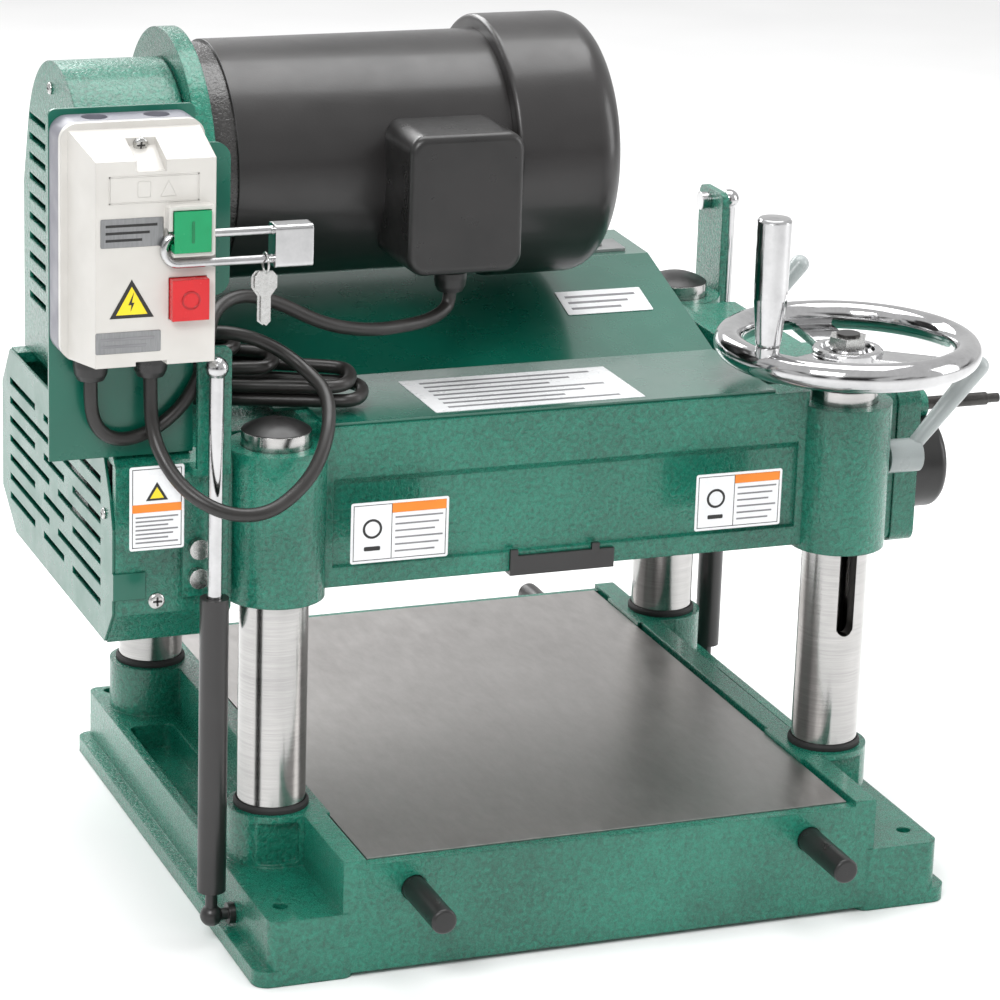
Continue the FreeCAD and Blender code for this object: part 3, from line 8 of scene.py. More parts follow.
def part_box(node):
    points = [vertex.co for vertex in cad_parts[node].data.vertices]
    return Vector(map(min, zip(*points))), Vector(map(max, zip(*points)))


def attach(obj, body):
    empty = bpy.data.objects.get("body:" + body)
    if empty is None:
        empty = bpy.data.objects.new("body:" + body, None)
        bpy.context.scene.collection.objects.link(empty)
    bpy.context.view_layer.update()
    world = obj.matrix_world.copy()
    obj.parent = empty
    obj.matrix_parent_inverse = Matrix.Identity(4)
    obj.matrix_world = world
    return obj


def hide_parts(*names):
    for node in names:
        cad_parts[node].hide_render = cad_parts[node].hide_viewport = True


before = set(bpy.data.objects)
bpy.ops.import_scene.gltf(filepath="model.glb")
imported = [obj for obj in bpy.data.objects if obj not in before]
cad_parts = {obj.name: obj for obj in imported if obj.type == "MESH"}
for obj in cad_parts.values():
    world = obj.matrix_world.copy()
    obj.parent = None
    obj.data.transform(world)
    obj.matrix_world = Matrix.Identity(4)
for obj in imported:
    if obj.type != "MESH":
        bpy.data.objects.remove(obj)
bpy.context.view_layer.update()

MM = 0.001
FEET_MIDDLE = Vector((0.0, -8.75, 0.0))


def mm(x, y, z):
    """A place in millimetres from the middle of the feet, in the frame's metres."""
    return (Vector((x, y, z)) + FEET_MIDDLE) * MM


# ---------------------------------------------------------------- places read from the frame

class Span:
    """A CAD node's box in millimetres from the middle of the feet."""

    def __init__(self, node):
        low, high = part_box(node)
        self.lo = Vector(low) / MM - FEET_MIDDLE
        self.hi = Vector(high) / MM - FEET_MIDDLE
        self.mid = (self.lo + self.hi) / 2


HEAD = Span("headstock_casting")
STRIP = Span("cover_strip")
SWITCH = Span("switch_cover")
START = Span("start_button")
STOP = Span("stop_button")
LOWER_GUARD = Span("lower_belt_guard")
UPPER_GUARD = Span("upper_belt_guard")


# ---------------------------------------------------------------- camera and light

def make_camera():
    """A long lens from the operator's left, a little above the motor."""
    place = mm(-1048.2, -2652.5, 1180.9)
    yaw, pitch, roll = 0.375, 0.310, 0.034
    ahead = Vector((math.sin(yaw) * math.cos(pitch), math.cos(yaw) * math.cos(pitch),
                    -math.sin(pitch)))
    right = Vector((math.cos(yaw), -math.sin(yaw), 0.0))
    up = right.cross(ahead)
    side = right * math.cos(roll) + up * math.sin(roll)
    top = up * math.cos(roll) - right * math.sin(roll)
    data = bpy.data.cameras.new("camera")
    data.sensor_width = 36.0
    data.lens = 139.2
    data.clip_end = 30.0
    data.dof.use_dof = False
    camera = bpy.data.objects.new("camera", data)
    bpy.context.scene.collection.objects.link(camera)
    turn = Matrix((side, top, -ahead)).transposed().to_4x4()
    camera.matrix_world = Matrix.Translation(place) @ turn
    bpy.context.scene.camera = camera


def area_light(name, place, target, size, power):
    data = bpy.data.lights.new(name, "AREA")
    data.shape = "RECTANGLE"
    data.size, data.size_y = size
    data.energy = power
    light = bpy.data.objects.new(name, data)
    light.location = place
    light.rotation_euler = (Vector(target) - Vector(place)).to_track_quat("-Z", "Y").to_euler()
    bpy.context.scene.collection.objects.link(light)


def make_world():
    """Soft walls that go from pale to dark round the room, for the metal to reflect."""
    world = bpy.data.worlds.new("studio")
    world.use_nodes = True
    tree = world.node_tree
    where = tree.nodes.new("ShaderNodeTexCoord")
    patches = tree.nodes.new("ShaderNodeTexNoise")
    patches.inputs["Scale"].default_value = 2.1
    patches.inputs["Detail"].default_value = 1.0
    edge = tree.nodes.new("ShaderNodeMapRange")
    edge.inputs["From Min"].default_value = 0.44
    edge.inputs["From Max"].default_value = 0.54
    shade = tree.nodes.new("ShaderNodeMix")
    shade.data_type = "RGBA"
    dark, pale = [item for item in shade.inputs if item.type == "RGBA"]
    dark.default_value = (0.07, 0.07, 0.072, 1.0)
    pale.default_value = (1.0, 1.0, 1.0, 1.0)
    result = [item for item in shade.outputs if item.type == "RGBA"][0]
    parts = tree.nodes.new("ShaderNodeSeparateXYZ")
    ceiling = tree.nodes.new("ShaderNodeMapRange")
    ceiling.inputs["From Min"].default_value = 0.30
    ceiling.inputs["From Max"].default_value = 0.55
    behind = tree.nodes.new("ShaderNodeMapRange")
    behind.inputs["From Min"].default_value = 0.10
    behind.inputs["From Max"].default_value = 0.35
    both = tree.nodes.new("ShaderNodeMath")
    both.operation = "MAXIMUM"
    every = tree.nodes.new("ShaderNodeMath")
    every.operation = "MAXIMUM"
    tree.links.new(where.outputs["Generated"], patches.inputs["Vector"])
    tree.links.new(where.outputs["Generated"], parts.inputs["Vector"])
    tree.links.new(parts.outputs["Z"], ceiling.inputs["Value"])
    tree.links.new(patches.outputs["Fac"], edge.inputs["Value"])
    tree.links.new(edge.outputs["Result"], both.inputs[0])
    tree.links.new(ceiling.outputs["Result"], both.inputs[1])
    tree.links.new(parts.outputs["Y"], behind.inputs["Value"])
    tree.links.new(both.outputs[0], every.inputs[0])
    tree.links.new(behind.outputs["Result"], every.inputs[1])
    tree.links.new(every.outputs[0], shade.inputs["Factor"])
    background = tree.nodes["Background"]
    tree.links.new(result, background.inputs["Color"])
    background.inputs["Strength"].default_value = 0.80
    bpy.context.scene.world = world


def make_light():
    middle = (0.0, 0.0, 0.3)
    area_light("key", (-1.5, -1.9, 2.2), middle, (1.3, 1.0), 44)
    area_light("top", (0.2, 0.4, 2.7), middle, (2.2, 1.5), 50)
    area_light("right_fill", (2.4, -0.9, 1.1), middle, (0.9, 1.6), 18)
    area_light("rim", (-0.6, 2.4, 1.8), middle, (2.0, 1.0), 42)
    make_world()
    bpy.context.scene.view_settings.view_transform = "Standard"


# ---------------------------------------------------------------- node graphs for materials

class Graph:
    """Builds one material's nodes; every texture reads the frame's own metres."""

    def __init__(self, name):
        self.material = bpy.data.materials.new(name)
        self.material.use_nodes = True
        self.tree = self.material.node_tree
        self.shader = self.tree.nodes["Principled BSDF"]
        self.where = self.tree.nodes.new("ShaderNodeTexCoord").outputs["Object"]

    def add(self, kind, **settings):
        node = self.tree.nodes.new(kind)
        for key, value in settings.items():
            setattr(node, key, value)
        return node

    def link(self, source, socket):
        self.tree.links.new(source, socket)

    def feed(self, socket, value):
        """Links an output, or sets a constant."""
        if isinstance(value, bpy.types.NodeSocket):
            self.link(value, socket)
        else:
            socket.default_value = value

    def stretched(self, scale):
        mapping = self.add("ShaderNodeMapping")
        mapping.inputs["Scale"].default_value = scale
        self.link(self.where, mapping.inputs["Vector"])
        return mapping.outputs["Vector"]

    def noise(self, scale, detail=3.0, roughness=0.5, warp=0.0, along=None):
        node = self.add("ShaderNodeTexNoise")
        self.link(along or self.where, node.inputs["Vector"])
        node.inputs["Scale"].default_value = scale
        node.inputs["Detail"].default_value = detail
        node.inputs["Roughness"].default_value = roughness
        node.inputs["Distortion"].default_value = warp
        return node.outputs["Fac"]

    def math(self, operation, first, second):
        node = self.add("ShaderNodeMath", operation=operation)
        self.feed(node.inputs[0], first)
        self.feed(node.inputs[1], second)
        return node.outputs[0]

    def spread(self, value, low, high, out_low=0.0, out_high=1.0):
        node = self.add("ShaderNodeMapRange")
        self.link(value, node.inputs["Value"])
        node.inputs["From Min"].default_value = low
        node.inputs["From Max"].default_value = high
        node.inputs["To Min"].default_value = out_low
        node.inputs["To Max"].default_value = out_high
        return node.outputs["Result"]

    def blend(self, factor, first, second):
        """Mixes two colours."""
        node = self.add("ShaderNodeMix", data_type="RGBA")
        self.feed(node.inputs["Factor"], factor)
        colours = [item for item in node.inputs if item.type == "RGBA"]
        for socket, colour in zip(colours, (first, second)):
            if isinstance(colour, tuple):
                colour = (*colour, 1.0)
            self.feed(socket, colour)
        return [item for item in node.outputs if item.type == "RGBA"][0]

    def soft_edges(self, radius):
        node = self.add("ShaderNodeBevel")
        node.samples = 4
        node.inputs["Radius"].default_value = radius
        return node.outputs["Normal"]

    def bump(self, height, strength, distance, normal=None):
        node = self.add("ShaderNodeBump")
        node.inputs["Strength"].default_value = strength
        node.inputs["Distance"].default_value = distance
        self.link(height, node.inputs["Height"])
        if normal is not None:
            self.link(normal, node.inputs["Normal"])
        return node.outputs["Normal"]

    def finish(self, colour, roughness, metallic=0.0, normal=None, coat=0.0, coat_roughness=0.1,
               specular=0.5):
        inputs = self.shader.inputs
        if isinstance(colour, tuple):
            colour = (*colour, 1.0)
        self.feed(inputs["Base Color"], colour)
        self.feed(inputs["Roughness"], roughness)
        inputs["Metallic"].default_value = metallic
        inputs["Coat Weight"].default_value = coat
        inputs["Coat Roughness"].default_value = coat_roughness
        inputs["Specular IOR Level"].default_value = specular
        if normal is not None:
            self.link(normal, inputs["Normal"])
        return self.material


def hammered_green(name, deep, bright, dents=1.0):
    """Hammer-finish enamel: shallow dents a few millimetres across, glossy, with painted shade darkening
    the dips and painted highlight lightening the rises.
    """
    graph = Graph(name)
    dent = graph.noise(330.0, 2.0, 0.55, 0.6)
    fine = graph.noise(900.0, 2.0, 0.5)
    wide = graph.noise(7.0, 2.0, 0.5)
    height = graph.math("ADD", dent, graph.math("MULTIPLY", fine, 0.18))
    # Painted shade and highlight: the colour follows the dent height, darker in the dips and lighter on
    # the rises; the slow wide noise adds random tone.
    tone = graph.spread(graph.math("ADD", graph.math("MULTIPLY", dent, 0.8),
                                   graph.math("MULTIPLY", wide, 0.5)), 0.45, 0.85)
    colour = graph.blend(tone, deep, bright)
    rough = graph.spread(fine, 0.3, 0.7, 0.20, 0.34)
    normal = graph.bump(height, 0.55 * dents, 0.0011, graph.soft_edges(0.0022))
    return graph.finish(colour, rough, 0.0, normal, coat=0.35, coat_roughness=0.12)


def enamel(name, deep, bright, rough=(0.24, 0.36), peel=0.06, edge=0.0012, coat=0.2):
    """Smooth sprayed enamel with faint orange peel and slow changes of tone."""
    graph = Graph(name)
    wide = graph.noise(5.0, 3.0, 0.55)
    fine = graph.noise(700.0, 2.0, 0.5)
    smear = graph.noise(28.0, 4.0, 0.6)
    colour = graph.blend(graph.spread(wide, 0.35, 0.65), deep, bright)
    roughness = graph.spread(smear, 0.35, 0.7, rough[0], rough[1])
    normal = graph.bump(fine, peel, 0.0006, graph.soft_edges(edge))
    return graph.finish(colour, roughness, 0.0, normal, coat=coat, coat_roughness=0.15)


def bare_metal(name, deep, bright, rough, grain, grain_scale=90.0, bump=0.05, edge=0.0008):
    """Bare metal with grinding marks stretched along the axis whose grain value is small."""
    graph = Graph(name)
    lines = graph.noise(grain_scale, 4.0, 0.7, 0.0, graph.stretched(grain))
    blotch = graph.noise(14.0, 3.0, 0.6)
    tone = graph.math("ADD", graph.math("MULTIPLY", lines, 0.6), graph.math("MULTIPLY", blotch, 0.4))
    colour = graph.blend(graph.spread(tone, 0.35, 0.65), deep, bright)
    roughness = graph.spread(tone, 0.3, 0.7, rough[0], rough[1])
    normal = graph.bump(lines, bump, 0.0004, graph.soft_edges(edge))
    return graph.finish(colour, roughness, 1.0, normal)


def moulded(name, deep, bright, rough=(0.35, 0.5), grain=1500.0, bump=0.08, edge=0.0010, coat=0.0):
    """Moulded plastic or rubber with a fine surface grain."""
    graph = Graph(name)
    fine = graph.noise(grain, 2.0, 0.5)
    wide = graph.noise(18.0, 3.0, 0.6)
    colour = graph.blend(graph.spread(wide, 0.35, 0.65), deep, bright)
    roughness = graph.spread(graph.noise(60.0, 3.0), 0.3, 0.7, rough[0], rough[1])
    normal = graph.bump(fine, bump, 0.0003, graph.soft_edges(edge))
    return graph.finish(colour, roughness, 0.0, normal, coat=coat)


def make_materials():
    m = {}
    m["cast"] = hammered_green("cast_green", (0.003, 0.078, 0.050), (0.010, 0.205, 0.135), 1.5)
    m["sheet"] = enamel("sheet_green", (0.001, 0.085, 0.054), (0.003, 0.120, 0.078))
    m["cover"] = enamel("cover_green", (0.001, 0.085, 0.054), (0.003, 0.120, 0.078), (0.22, 0.32),
                        coat=1.0)
    m["table"] = bare_metal("table_iron", (0.36, 0.345, 0.335), (0.45, 0.435, 0.425), (0.30, 0.40),
                            (9.0, 3.0, 1.0), 12.0, 0.02)
    m["iron"] = bare_metal("ground_iron", (0.19, 0.18, 0.175), (0.30, 0.29, 0.28), (0.22, 0.36),
                           (60.0, 1.2, 1.0), 12.0, 0.10)
    m["column"] = bare_metal("column_steel", (0.36, 0.355, 0.35), (0.52, 0.51, 0.50), (0.13, 0.24),
                             (1.0, 1.0, 45.0), 22.0, 0.05)
    m["bright"] = bare_metal("bright_steel", (0.42, 0.42, 0.41), (0.62, 0.62, 0.61), (0.20, 0.34),
                             (20.0, 20.0, 20.0), 20.0, 0.08)
    m["chrome"] = bare_metal("chrome", (0.46, 0.46, 0.465), (0.58, 0.58, 0.585), (0.04, 0.09),
                             (8.0, 8.0, 8.0), 10.0, 0.015, 0.0015)
    m["dark_steel"] = bare_metal("dark_steel", (0.045, 0.043, 0.042), (0.085, 0.083, 0.08),
                                 (0.28, 0.42), (10.0, 10.0, 10.0), 30.0, 0.08)
    m["motor"] = enamel("motor_black", (0.012, 0.011, 0.011), (0.020, 0.018, 0.018), (0.30, 0.42), 0.10)
    m["motor_rough"] = hammered_green("motor_cast", (0.010, 0.009, 0.009), (0.030, 0.028, 0.027), 1.3)
    m["black"] = moulded("black_plastic", (0.010, 0.010, 0.010), (0.018, 0.017, 0.017), (0.26, 0.40))
    m["white"] = moulded("switch_white", (0.54, 0.525, 0.495), (0.60, 0.585, 0.555), (0.28, 0.40),
                         1800.0, 0.03)
    m["grey"] = moulded("switch_grey", (0.17, 0.17, 0.20), (0.21, 0.21, 0.24), (0.35, 0.5))
    m["button_green"] = moulded("button_green", (0.0, 0.24, 0.085), (0.0, 0.30, 0.11), (0.2, 0.3),
                                edge=0.0008)
    m["button_red"] = moulded("button_red", (0.52, 0.008, 0.012), (0.62, 0.012, 0.016), (0.2, 0.3),
                              edge=0.0008)
    m["lever"] = enamel("lever_silver", (0.26, 0.29, 0.29), (0.38, 0.41, 0.41), (0.25, 0.38), 0.15)
    m["rubber"] = moulded("cord_rubber", (0.012, 0.011, 0.010), (0.022, 0.020, 0.019), (0.30, 0.44),
                          900.0, 0.12)
    m["belt"] = moulded("belt_rubber", (0.010, 0.010, 0.010), (0.018, 0.018, 0.018), (0.6, 0.75))
    m["strip"] = bare_metal("strip_grey", (0.30, 0.31, 0.31), (0.44, 0.45, 0.45), (0.30, 0.42),
                            (3.0, 40.0, 40.0), 20.0)
    m["film"] = moulded("label_film", (0.74, 0.75, 0.76), (0.80, 0.81, 0.82), (0.24, 0.34), 1200.0, 0.02)
    m["ink"] = moulded("label_ink", (0.010, 0.010, 0.010), (0.020, 0.020, 0.020), (0.4, 0.5))
    m["soft_ink"] = moulded("label_soft_ink", (0.16, 0.16, 0.17), (0.24, 0.24, 0.25), (0.4, 0.5))
    m["orange"] = moulded("label_orange", (0.72, 0.19, 0.008), (0.80, 0.23, 0.012), (0.3, 0.4))
    m["yellow"] = moulded("label_yellow", (0.78, 0.60, 0.01), (0.85, 0.68, 0.02), (0.3, 0.4))
    m["plate_grey"] = bare_metal("label_plate", (0.24, 0.245, 0.25), (0.33, 0.335, 0.34), (0.3, 0.42),
                                 (40.0, 3.0, 3.0), 20.0)
    # Near-black fill that paints the shade inside screw recesses.
    m["recess"] = moulded("screw_recess_shade", (0.015, 0.015, 0.015), (0.03, 0.03, 0.03), (0.5, 0.6))
    m["mark_green"] = moulded("mark_green", (0.0, 0.15, 0.05), (0.0, 0.18, 0.065), (0.25, 0.35))
    m["mark_red"] = moulded("mark_red", (0.34, 0.004, 0.008), (0.40, 0.006, 0.010), (0.25, 0.35))
    return m


NODE_FINISH = {
    "cast": ["base_casting", "headstock_casting", "motor_plate", "upper_belt_guard", "gearbox",
             "gearbox_cover", "strut_brackets"],
    "cover": ["top_cover"],
    "sheet": ["lower_belt_guard", "switch_plate"],
    "table": ["table"],
    "iron": ["breaker_and_pressure_bar", "motor_rotor"],
    "column": ["column_fl", "column_fr", "column_rl", "column_rr"],
    "bright": ["handwheel_nut", "cutterhead", "infeed_roller", "outfeed_roller", "bracket_bolts",
               "padlock_keys"],
    "chrome": ["handwheel", "handwheel_handle", "strut_rods", "padlock"],
    "dark_steel": ["column_collar", "lift_chain", "lead_screw_fl", "lead_screw_fr", "lead_screw_rl",
                   "lead_screw_rr", "kickback_fingers", "feed_shaft"],
    "motor": ["motor_body", "motor_fan_cover", "strut_cylinders", "depth_limiter"],
    "motor_rough": ["motor_end_bell"],
    "black": ["column_caps", "junction_box", "gearbox_cap", "cord_glands", "lift_bar_front_left",
              "lift_bar_front_right", "lift_bar_rear_left", "lift_bar_rear_right"],
    "white": ["switch_cover"],
    "grey": ["switch_base"],
    "button_green": ["start_button"],
    "button_red": ["stop_button"],
    "lever": ["lock_lever_front", "lock_lever_rear"],
    "rubber": ["motor_cord", "power_cord", "power_cord_coil"],
    "belt": ["drive_belts", "column_seals"],
    "strip": ["cover_strip"],
}


def paint_nodes(materials):
    for finish, nodes in NODE_FINISH.items():
        for node in nodes:
            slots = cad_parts[node].material_slots
            for slot in slots:
                slot.material = materials[finish]


def make_floor():
    graph = Graph("floor_paper")
    tone = graph.noise(3.0, 2.0)
    colour = graph.blend(graph.spread(tone, 0.3, 0.7), (0.88, 0.88, 0.88), (0.92, 0.92, 0.92))
    graph.finish(colour, 0.8, specular=0.1)
    mesh = bpy.data.meshes.new("floor")
    half = 14.0
    mesh.from_pydata([(-half, -half, 0), (half, -half, 0), (half, half, 0), (-half, half, 0)], [],
                     [(0, 1, 2, 3)])
    mesh.materials.append(graph.material)
    floor = bpy.data.objects.new("floor", mesh)
    floor.location.z = -0.0004
    bpy.context.scene.collection.objects.link(floor)


# ---------------------------------------------------------------- cords

CORD_WIDE = 10.0
MOTOR_ROUTE = [(-369, -142, 431), (-369, -141, 415), (-366, -139, 399), (-358, -137.5, 388),
               (-345, -136, 383), (-330, -135, 385), (-314, -135, 393), (-301, -136, 405),
               (-291, -136, 420), (-283, -132, 436), (-278, -123, 450), (-272, -110, 461),
               (-260, -98, 468), (-244, -90, 470), (-226, -86, 466), (-208, -84, 458),
               (-190, -83, 448), (-171, -81, 440), (-151, -77, 435), (-131, -71, 432),
               (-112, -63, 431), (-95, -54, 430), (-81, -44, 430), (-70, -36, 432),
               (-62, -30, 437), (-62, -30, 447)]
POWER_ROUTE = [(-326, -142, 431), (-326, -142.5, 417), (-326, -144, 402), (-325, -149, 387),
               (-321, -159, 373), (-314, -173, 360), (-303, -185, 350), (-287, -193, 342),
               (-269, -196, 339), (-251, -194, 341), (-234, -188, 349), (-219, -181, 360),
               (-208, -172, 373), (-200, -160, 385), (-195, -147, 394), (-192, -134, 401)]
TOP_STRAND = [(-192, -121, 407), (-197, -106, 413), (-207, -95, 422), (-221, -88, 431),
              (-238, -84, 438), (-260, -76, 441)]
COIL_LEFT_END = Vector((-280.0, -39.0, 0.0))
COIL_RIGHT_END = Vector((-168.0, -84.0, 0.0))
COIL_FLOOR = 386.5
COIL_TURNS = ((30.0, 15.0), (56.0, 17.0), (108.0, 22.0), (119.0, 20.0))
TURN_DROP = 10.8


def coil_points():
    """Four folded turns, each lower and most of them longer than the one before."""
    along = (COIL_RIGHT_END - COIL_LEFT_END).normalized()
    front = along.cross(Vector((0, 0, 1)))
    points = []
    for turn, (reach, half) in enumerate(COIL_TURNS):
        corners = ((-half, half), (-half, -half), (4, -half), (reach - 6, -half),
                   (reach + half, -half), (reach + half, half), (reach - 6, half), (4, half))
        for step, (ahead, forward) in enumerate(corners):
            spot = COIL_LEFT_END + along * ahead + front * forward
            height = COIL_FLOOR + TURN_DROP * (len(COIL_TURNS) - turn - step / len(corners))
            points.append((spot.x, spot.y, height))
    return points


def cord_piece(name, route, material, nodes):
    """A round cord along a smooth line with the route's points as its control points."""
    data = bpy.data.curves.new(name, "CURVE")
    data.dimensions = "3D"
    data.bevel_depth = CORD_WIDE / 2 * MM
    data.bevel_resolution = 6
    data.resolution_u = 12
    data.use_fill_caps = True
    spline = data.splines.new("NURBS")
    spline.points.add(len(route) - 1)
    for point, spot in zip(spline.points, route):
        point.co = (*mm(*spot), 1.0)
    spline.order_u = 3
    spline.use_endpoint_u = True
    data.materials.append(material)
    piece = bpy.data.objects.new(name, data)
    bpy.context.scene.collection.objects.link(piece)
    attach(piece, "headstock")
    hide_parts(*nodes)


def make_cords(m):
    cord_piece("motor_lead", MOTOR_ROUTE, m["rubber"], ["motor_cord"])
    cord_piece("power_lead", POWER_ROUTE + TOP_STRAND + coil_points(), m["rubber"],
               ["power_cord", "power_cord_coil"])


# ---------------------------------------------------------------- small pieces

class Face:
    """A flat place on the machine: an origin and two directions across it, in millimetres."""

    def __init__(self, origin, across, up):
        self.origin = Vector(origin)
        self.across = Vector(across).normalized()
        self.up = Vector(up).normalized()
        self.out = self.across.cross(self.up)

    def at(self, u, v, w=0.0):
        return mm(*(self.origin + self.across * u + self.up * v + self.out * w))


def piece_from(name, mesh_bm, materials, body):
    """Turns a finished bmesh into a named piece that rides on a body."""
    bmesh.ops.recalc_face_normals(mesh_bm, faces=mesh_bm.faces)
    mesh = bpy.data.meshes.new(name)
    mesh_bm.to_mesh(mesh)
    mesh_bm.free()
    for material in materials:
        mesh.materials.append(material)
    piece = bpy.data.objects.new(name, mesh)
    bpy.context.scene.collection.objects.link(piece)
    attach(piece, body)


def add_slab(bm, face, outline, low, high, index=0):
    """A flat shape with straight sides, between two heights above the face."""
    bottom = [bm.verts.new(face.at(u, v, low)) for u, v in outline]
    top = [bm.verts.new(face.at(u, v, high)) for u, v in outline]
    count = len(outline)
    made = [bm.faces.new(top), bm.faces.new(bottom[::-1])]
    for i in range(count):
        j = (i + 1) % count
        made.append(bm.faces.new((bottom[i], bottom[j], top[j], top[i])))
    for one in made:
        one.material_index = index


def rounded_box(left, low, right, high, radius, steps=5):
    """A rectangle's outline with round corners."""
    outline = []
    for cx, cy, start in ((right - radius, high - radius, 0), (left + radius, high - radius, 90),
                          (left + radius, low + radius, 180), (right - radius, low + radius, 270)):
        for step in range(steps + 1):
            angle = math.radians(start + 90 * step / steps)
            outline.append((cx + radius * math.cos(angle), cy + radius * math.sin(angle)))
    return outline


def circle(cx, cy, radius, count=32):
    """A circle's outline as a closed ring of points."""
    angles = [2 * math.pi * step / count for step in range(count)]
    return [(cx + radius * math.cos(angle), cy + radius * math.sin(angle)) for angle in angles]


def add_turned(bm, face, profile, count=32):
    """A profile of (radius, height) turned about the face's outward direction."""
    rings = []
    for radius, height in profile:
        rings.append([bm.verts.new(face.at(u, v, height)) for u, v in circle(0, 0, radius, count)])
    for lower, upper in zip(rings, rings[1:]):
        for i in range(count):
            j = (i + 1) % count
            wall = bm.faces.new((lower[i], lower[j], upper[j], upper[i]))
            wall.smooth = True
    for ring in (rings[0], rings[-1]):
        bm.faces.new(ring)


def pan_screw(name, face, radius, m, body):
    """A domed cross-recess screw head, its cross a dark inlay of painted shade."""
    bm = bmesh.new()
    tall = radius * 0.55
    profile = [(radius, -0.1), (radius, tall * 0.45), (radius * 0.92, tall * 0.72),
               (radius * 0.72, tall * 0.92), (radius * 0.4, tall), (radius * 0.12, tall)]
    add_turned(bm, face, profile)
    arm = radius * 0.55
    thin = radius * 0.13
    # Painted shade: the cross recess is a raised dark slab standing in for the shade inside a real
    # recess.
    for outline in (rounded_box(-arm, -thin, arm, thin, thin * 0.5, 2),
                    rounded_box(-thin, -arm, thin, arm, thin * 0.5, 2)):
        add_slab(bm, face, outline, tall * 0.5, tall + 0.05, 1)
    piece_from(name, bm, [m["bright"], m["recess"]], body)


# ---------------------------------------------------------------- labels without words

def warning_label(name, face, wide, high, m, body, band):
    """White film with a border, an orange band, a triangle above and plain grey rules below."""
    bm = bmesh.new()
    add_slab(bm, face, rounded_box(0, 0, wide, high, 1.8), 0.0, 0.30, 0)
    line = 0.5
    for left, low, right, top in ((2, 2, wide - 2, 2 + line), (2, high - 2 - line, wide - 2, high - 2),
                                  (2, 2, 2 + line, high - 2), (wide - 2 - line, 2, wide - 2, high - 2)):
        add_slab(bm, face, [(left, low), (right, low), (right, top), (left, top)], 0.2, 0.36, 1)
    low, top = band
    add_slab(bm, face, [(2, low), (wide - 2, low), (wide - 2, top), (2, top)], 0.2, 0.40, 2)
    middle = wide / 2
    roof = min(high - 4.5, top + 0.8 * (wide / 2))
    if roof - top > 8:
        base = top + 2.5
        spread = (roof - base) * 0.6
        add_slab(bm, face, [(middle - spread, base), (middle + spread, base), (middle, roof)],
                 0.2, 0.44, 1)
        inner = spread * 0.62
        add_slab(bm, face, [(middle - inner, base + 1.6), (middle + inner, base + 1.6),
                            (middle, roof - 3.6)], 0.2, 0.50, 3)
    rule = low - 3.0
    number = 0
    while rule > 4.5:
        right = wide - 4.5 - (number % 3) * wide * 0.09
        add_slab(bm, face, [(4.5, rule - 1.1), (right, rule - 1.1), (right, rule), (4.5, rule)],
                 0.2, 0.38, 4)
        rule -= 3.1
        number += 1
    piece_from(name, bm, [m["film"], m["ink"], m["orange"], m["yellow"], m["soft_ink"]], body)


def split_label(name, face, wide, high, m, body, panel):
    """White film: a bordered panel with a plain mark, then an orange band over grey rules."""
    bm = bmesh.new()
    add_slab(bm, face, rounded_box(0, 0, wide, high, 1.8), 0.0, 0.30, 0)
    line = 0.5
    for left, low, right, top in ((2, 2, wide - 2, 2 + line), (2, high - 2 - line, wide - 2, high - 2),
                                  (2, 2, 2 + line, high - 2), (wide - 2 - line, 2, wide - 2, high - 2),
                                  (panel, 2, panel + line, high - 2)):
        add_slab(bm, face, [(left, low), (right, low), (right, top), (left, top)], 0.2, 0.36, 1)
    band = high * 0.80
    add_slab(bm, face, [(panel + line, band), (wide - 2, band), (wide - 2, high - 2),
                        (panel + line, high - 2)], 0.2, 0.40, 2)
    middle = panel / 2 + 1
    add_slab(bm, face, circle(middle, high * 0.56, panel * 0.24, 28), 0.2, 0.36, 1)
    add_slab(bm, face, circle(middle, high * 0.56, panel * 0.18, 28), 0.2, 0.42, 0)
    add_slab(bm, face, rounded_box(middle - panel * 0.20, high * 0.20, middle + panel * 0.20,
                                   high * 0.27, 0.8, 2), 0.2, 0.38, 1)
    rules = 6
    gap = (band - 6.0) / rules
    for row in range(rules):
        top = band - 3.0 - gap * row
        right = wide - 4.5 - (row % 3) * 3.0
        add_slab(bm, face, [(panel + 3, top - 1.2), (right, top - 1.2), (right, top),
                            (panel + 3, top)], 0.2, 0.38, 3)
    piece_from(name, bm, [m["film"], m["ink"], m["orange"], m["soft_ink"]], body)


def plain_label(name, face, wide, high, m, body, rows, ground="film", rule="soft_ink"):
    """A film or plate with a few plain rules in place of wording."""
    bm = bmesh.new()
    add_slab(bm, face, rounded_box(0, 0, wide, high, 1.2), 0.0, 0.35, 0)
    gap = high / (rows + 1)
    for row in range(rows):
        level = high - gap * (row + 1)
        right = wide * (0.90 - 0.12 * (row % 3))
        add_slab(bm, face, [(wide * 0.08, level - gap * 0.18), (right, level - gap * 0.18),
                            (right, level + gap * 0.18), (wide * 0.08, level + gap * 0.18)],
                 0.2, 0.42, 1)
    piece_from(name, bm, [m[ground], m[rule]], body)


def hazard_triangle(name, face, side, m, body):
    """A yellow triangle with a black edge and a jagged mark, and no wording."""
    bm = bmesh.new()
    tall = side * 0.866
    add_slab(bm, face, [(-side / 2, 0), (side / 2, 0), (0, tall)], 0.0, 0.30, 1)
    edge = side * 0.075
    add_slab(bm, face, [(-side / 2 + edge * 1.9, edge), (side / 2 - edge * 1.9, edge),
                        (0, tall - edge * 2.1)], 0.1, 0.38, 0)
    add_slab(bm, face, [(-side * 0.03, tall * 0.16), (side * 0.06, tall * 0.40),
                        (0.0, tall * 0.40), (side * 0.05, tall * 0.68),
                        (-side * 0.08, tall * 0.34), (-side * 0.01, tall * 0.34)], 0.2, 0.44, 1)
    piece_from(name, bm, [m["yellow"], m["ink"]], body)


# ---------------------------------------------------------------- where the pieces go

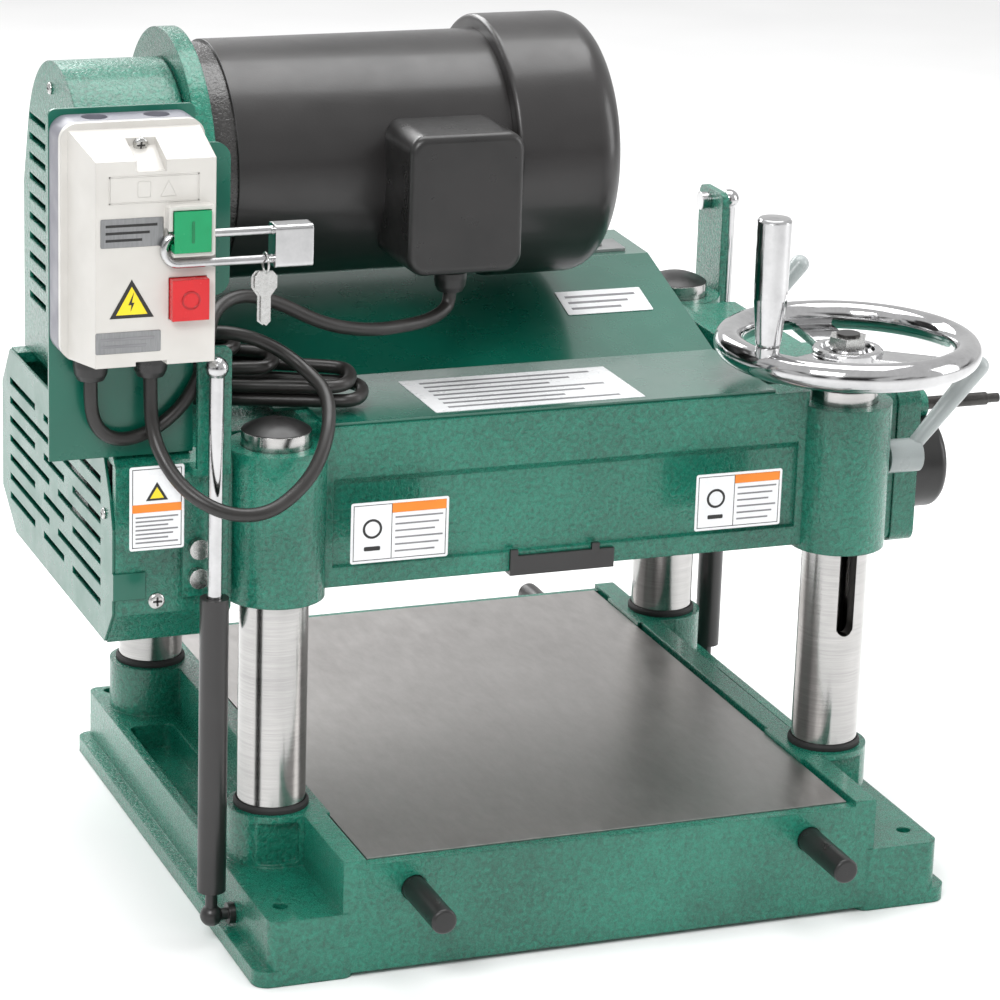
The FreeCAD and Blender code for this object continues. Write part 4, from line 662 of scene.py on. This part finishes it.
def front_face(x, z, y):
    """A face towards the operator, with its corner at x, z."""
    return Face((x, y, z), (1, 0, 0), (0, 0, 1))


def left_face(x, y, z):
    """A face towards the machine's left side."""
    return Face((x, y, z), (0, -1, 0), (0, 0, 1))


# The start button's bezel is the cover's foremost part, and stands this far proud of its face.
BEZEL_DEEP = 9.5
FACE_Y = SWITCH.lo.y + BEZEL_DEEP
COVER_TOP = 380.5
COVER_RISE = Vector((0.0, 135.0, 44.0))


def make_switch_details(m):
    face = front_face(0, 0, FACE_Y)
    bm = bmesh.new()
    line = 0.9
    left, right, low, high = -372, -309, 569, 588
    for box in ((left, low, right, low + line), (left, high - line, right, high),
                (left, low, left + line, high), (right - line, low, right, high)):
        u0, v0, u1, v1 = box
        add_slab(bm, face, [(u0, v0), (u1, v0), (u1, v1), (u0, v1)], -0.2, 0.35)
    add_slab(bm, face, rounded_box(-352, 573, -343, 584, 1), -0.2, 0.3)
    add_slab(bm, face, [(-336, 573), (-325, 573), (-330.5, 584)], -0.2, 0.3)
    piece_from("switch_emboss", bm, [m["white"]], "headstock")
    plain_label("switch_plate_upper", front_face(-378, 539, FACE_Y), 44, 20, m, "headstock", 3,
                "plate_grey", "ink")
    plain_label("switch_plate_lower", front_face(-381.5, 465, FACE_Y), 46, 15, m, "headstock", 2,
                "plate_grey", "soft_ink")
    hazard_triangle("switch_hazard", front_face(-356, 489.5, FACE_Y), 31, m, "headstock")
    bm = bmesh.new()
    mark = front_face(START.mid.x, START.mid.z, START.lo.y)
    add_slab(bm, mark, rounded_box(-0.9, -7.5, 0.9, 7.5, 0.8, 3), -0.2, 0.35)
    piece_from("start_mark", bm, [m["mark_green"]], "start")
    bm = bmesh.new()
    mark = front_face(STOP.mid.x, STOP.mid.z, STOP.lo.y)
    add_turned(bm, mark, [(6.6, -0.2), (6.6, 0.35), (5.3, 0.35), (5.3, -0.2)])
    piece_from("stop_mark", bm, [m["mark_red"]], "stop")
    pan_screw("switch_screw", Face((-343, -173.5, 604), (1, 0, 0), (0, -0.3, 1)), 5.2, m, "headstock")


def make_labels(m):
    front = HEAD.lo.y
    split_label("label_front_left", front_face(-181, 283, front), 75, 46, m, "headstock", 31)
    split_label("label_front_right", front_face(89.5, 284.5, front), 70, 44, m, "headstock", 31)
    warning_label("label_housing", front_face(-345.5, 307.5, front), 40, 62, m, "headstock", (28, 34))
    top = Face((-104, -121, COVER_TOP), (1, 0, 0), (0, 1, 0))
    plain_label("label_top", top, 166, 84, m, "headstock", 7, "film", "soft_ink")
    slope = Face((66, 45, 399.2), (1, 0, 0), COVER_RISE)
    plain_label("label_slope", slope, 72, 33, m, "headstock", 3)


def make_fasteners(m):
    for index, x in enumerate((-174.6, -74.8, 128.6)):
        pan_screw(f"strip_screw_{index}", Face((x, 146, STRIP.hi.z), (1, 0, 0), (0, 1, 0)), 5.0, m,
                  "headstock")
    pan_screw("lower_guard_tab_screw", front_face(-326, 270, HEAD.lo.y - 1.5), 6.0, m, "headstock")
    pan_screw("lower_guard_screw", left_face(LOWER_GUARD.lo.x, -109.5, 321), 4.2, m, "headstock")
    pan_screw("upper_guard_screw", left_face(UPPER_GUARD.lo.x, 88, 588), 4.6, m, "headstock")


make_camera()
make_light()
make_floor()
MATERIALS = make_materials()
make_cords(MATERIALS)
paint_nodes(MATERIALS)
make_switch_details(MATERIALS)
make_labels(MATERIALS)
make_fasteners(MATERIALS)
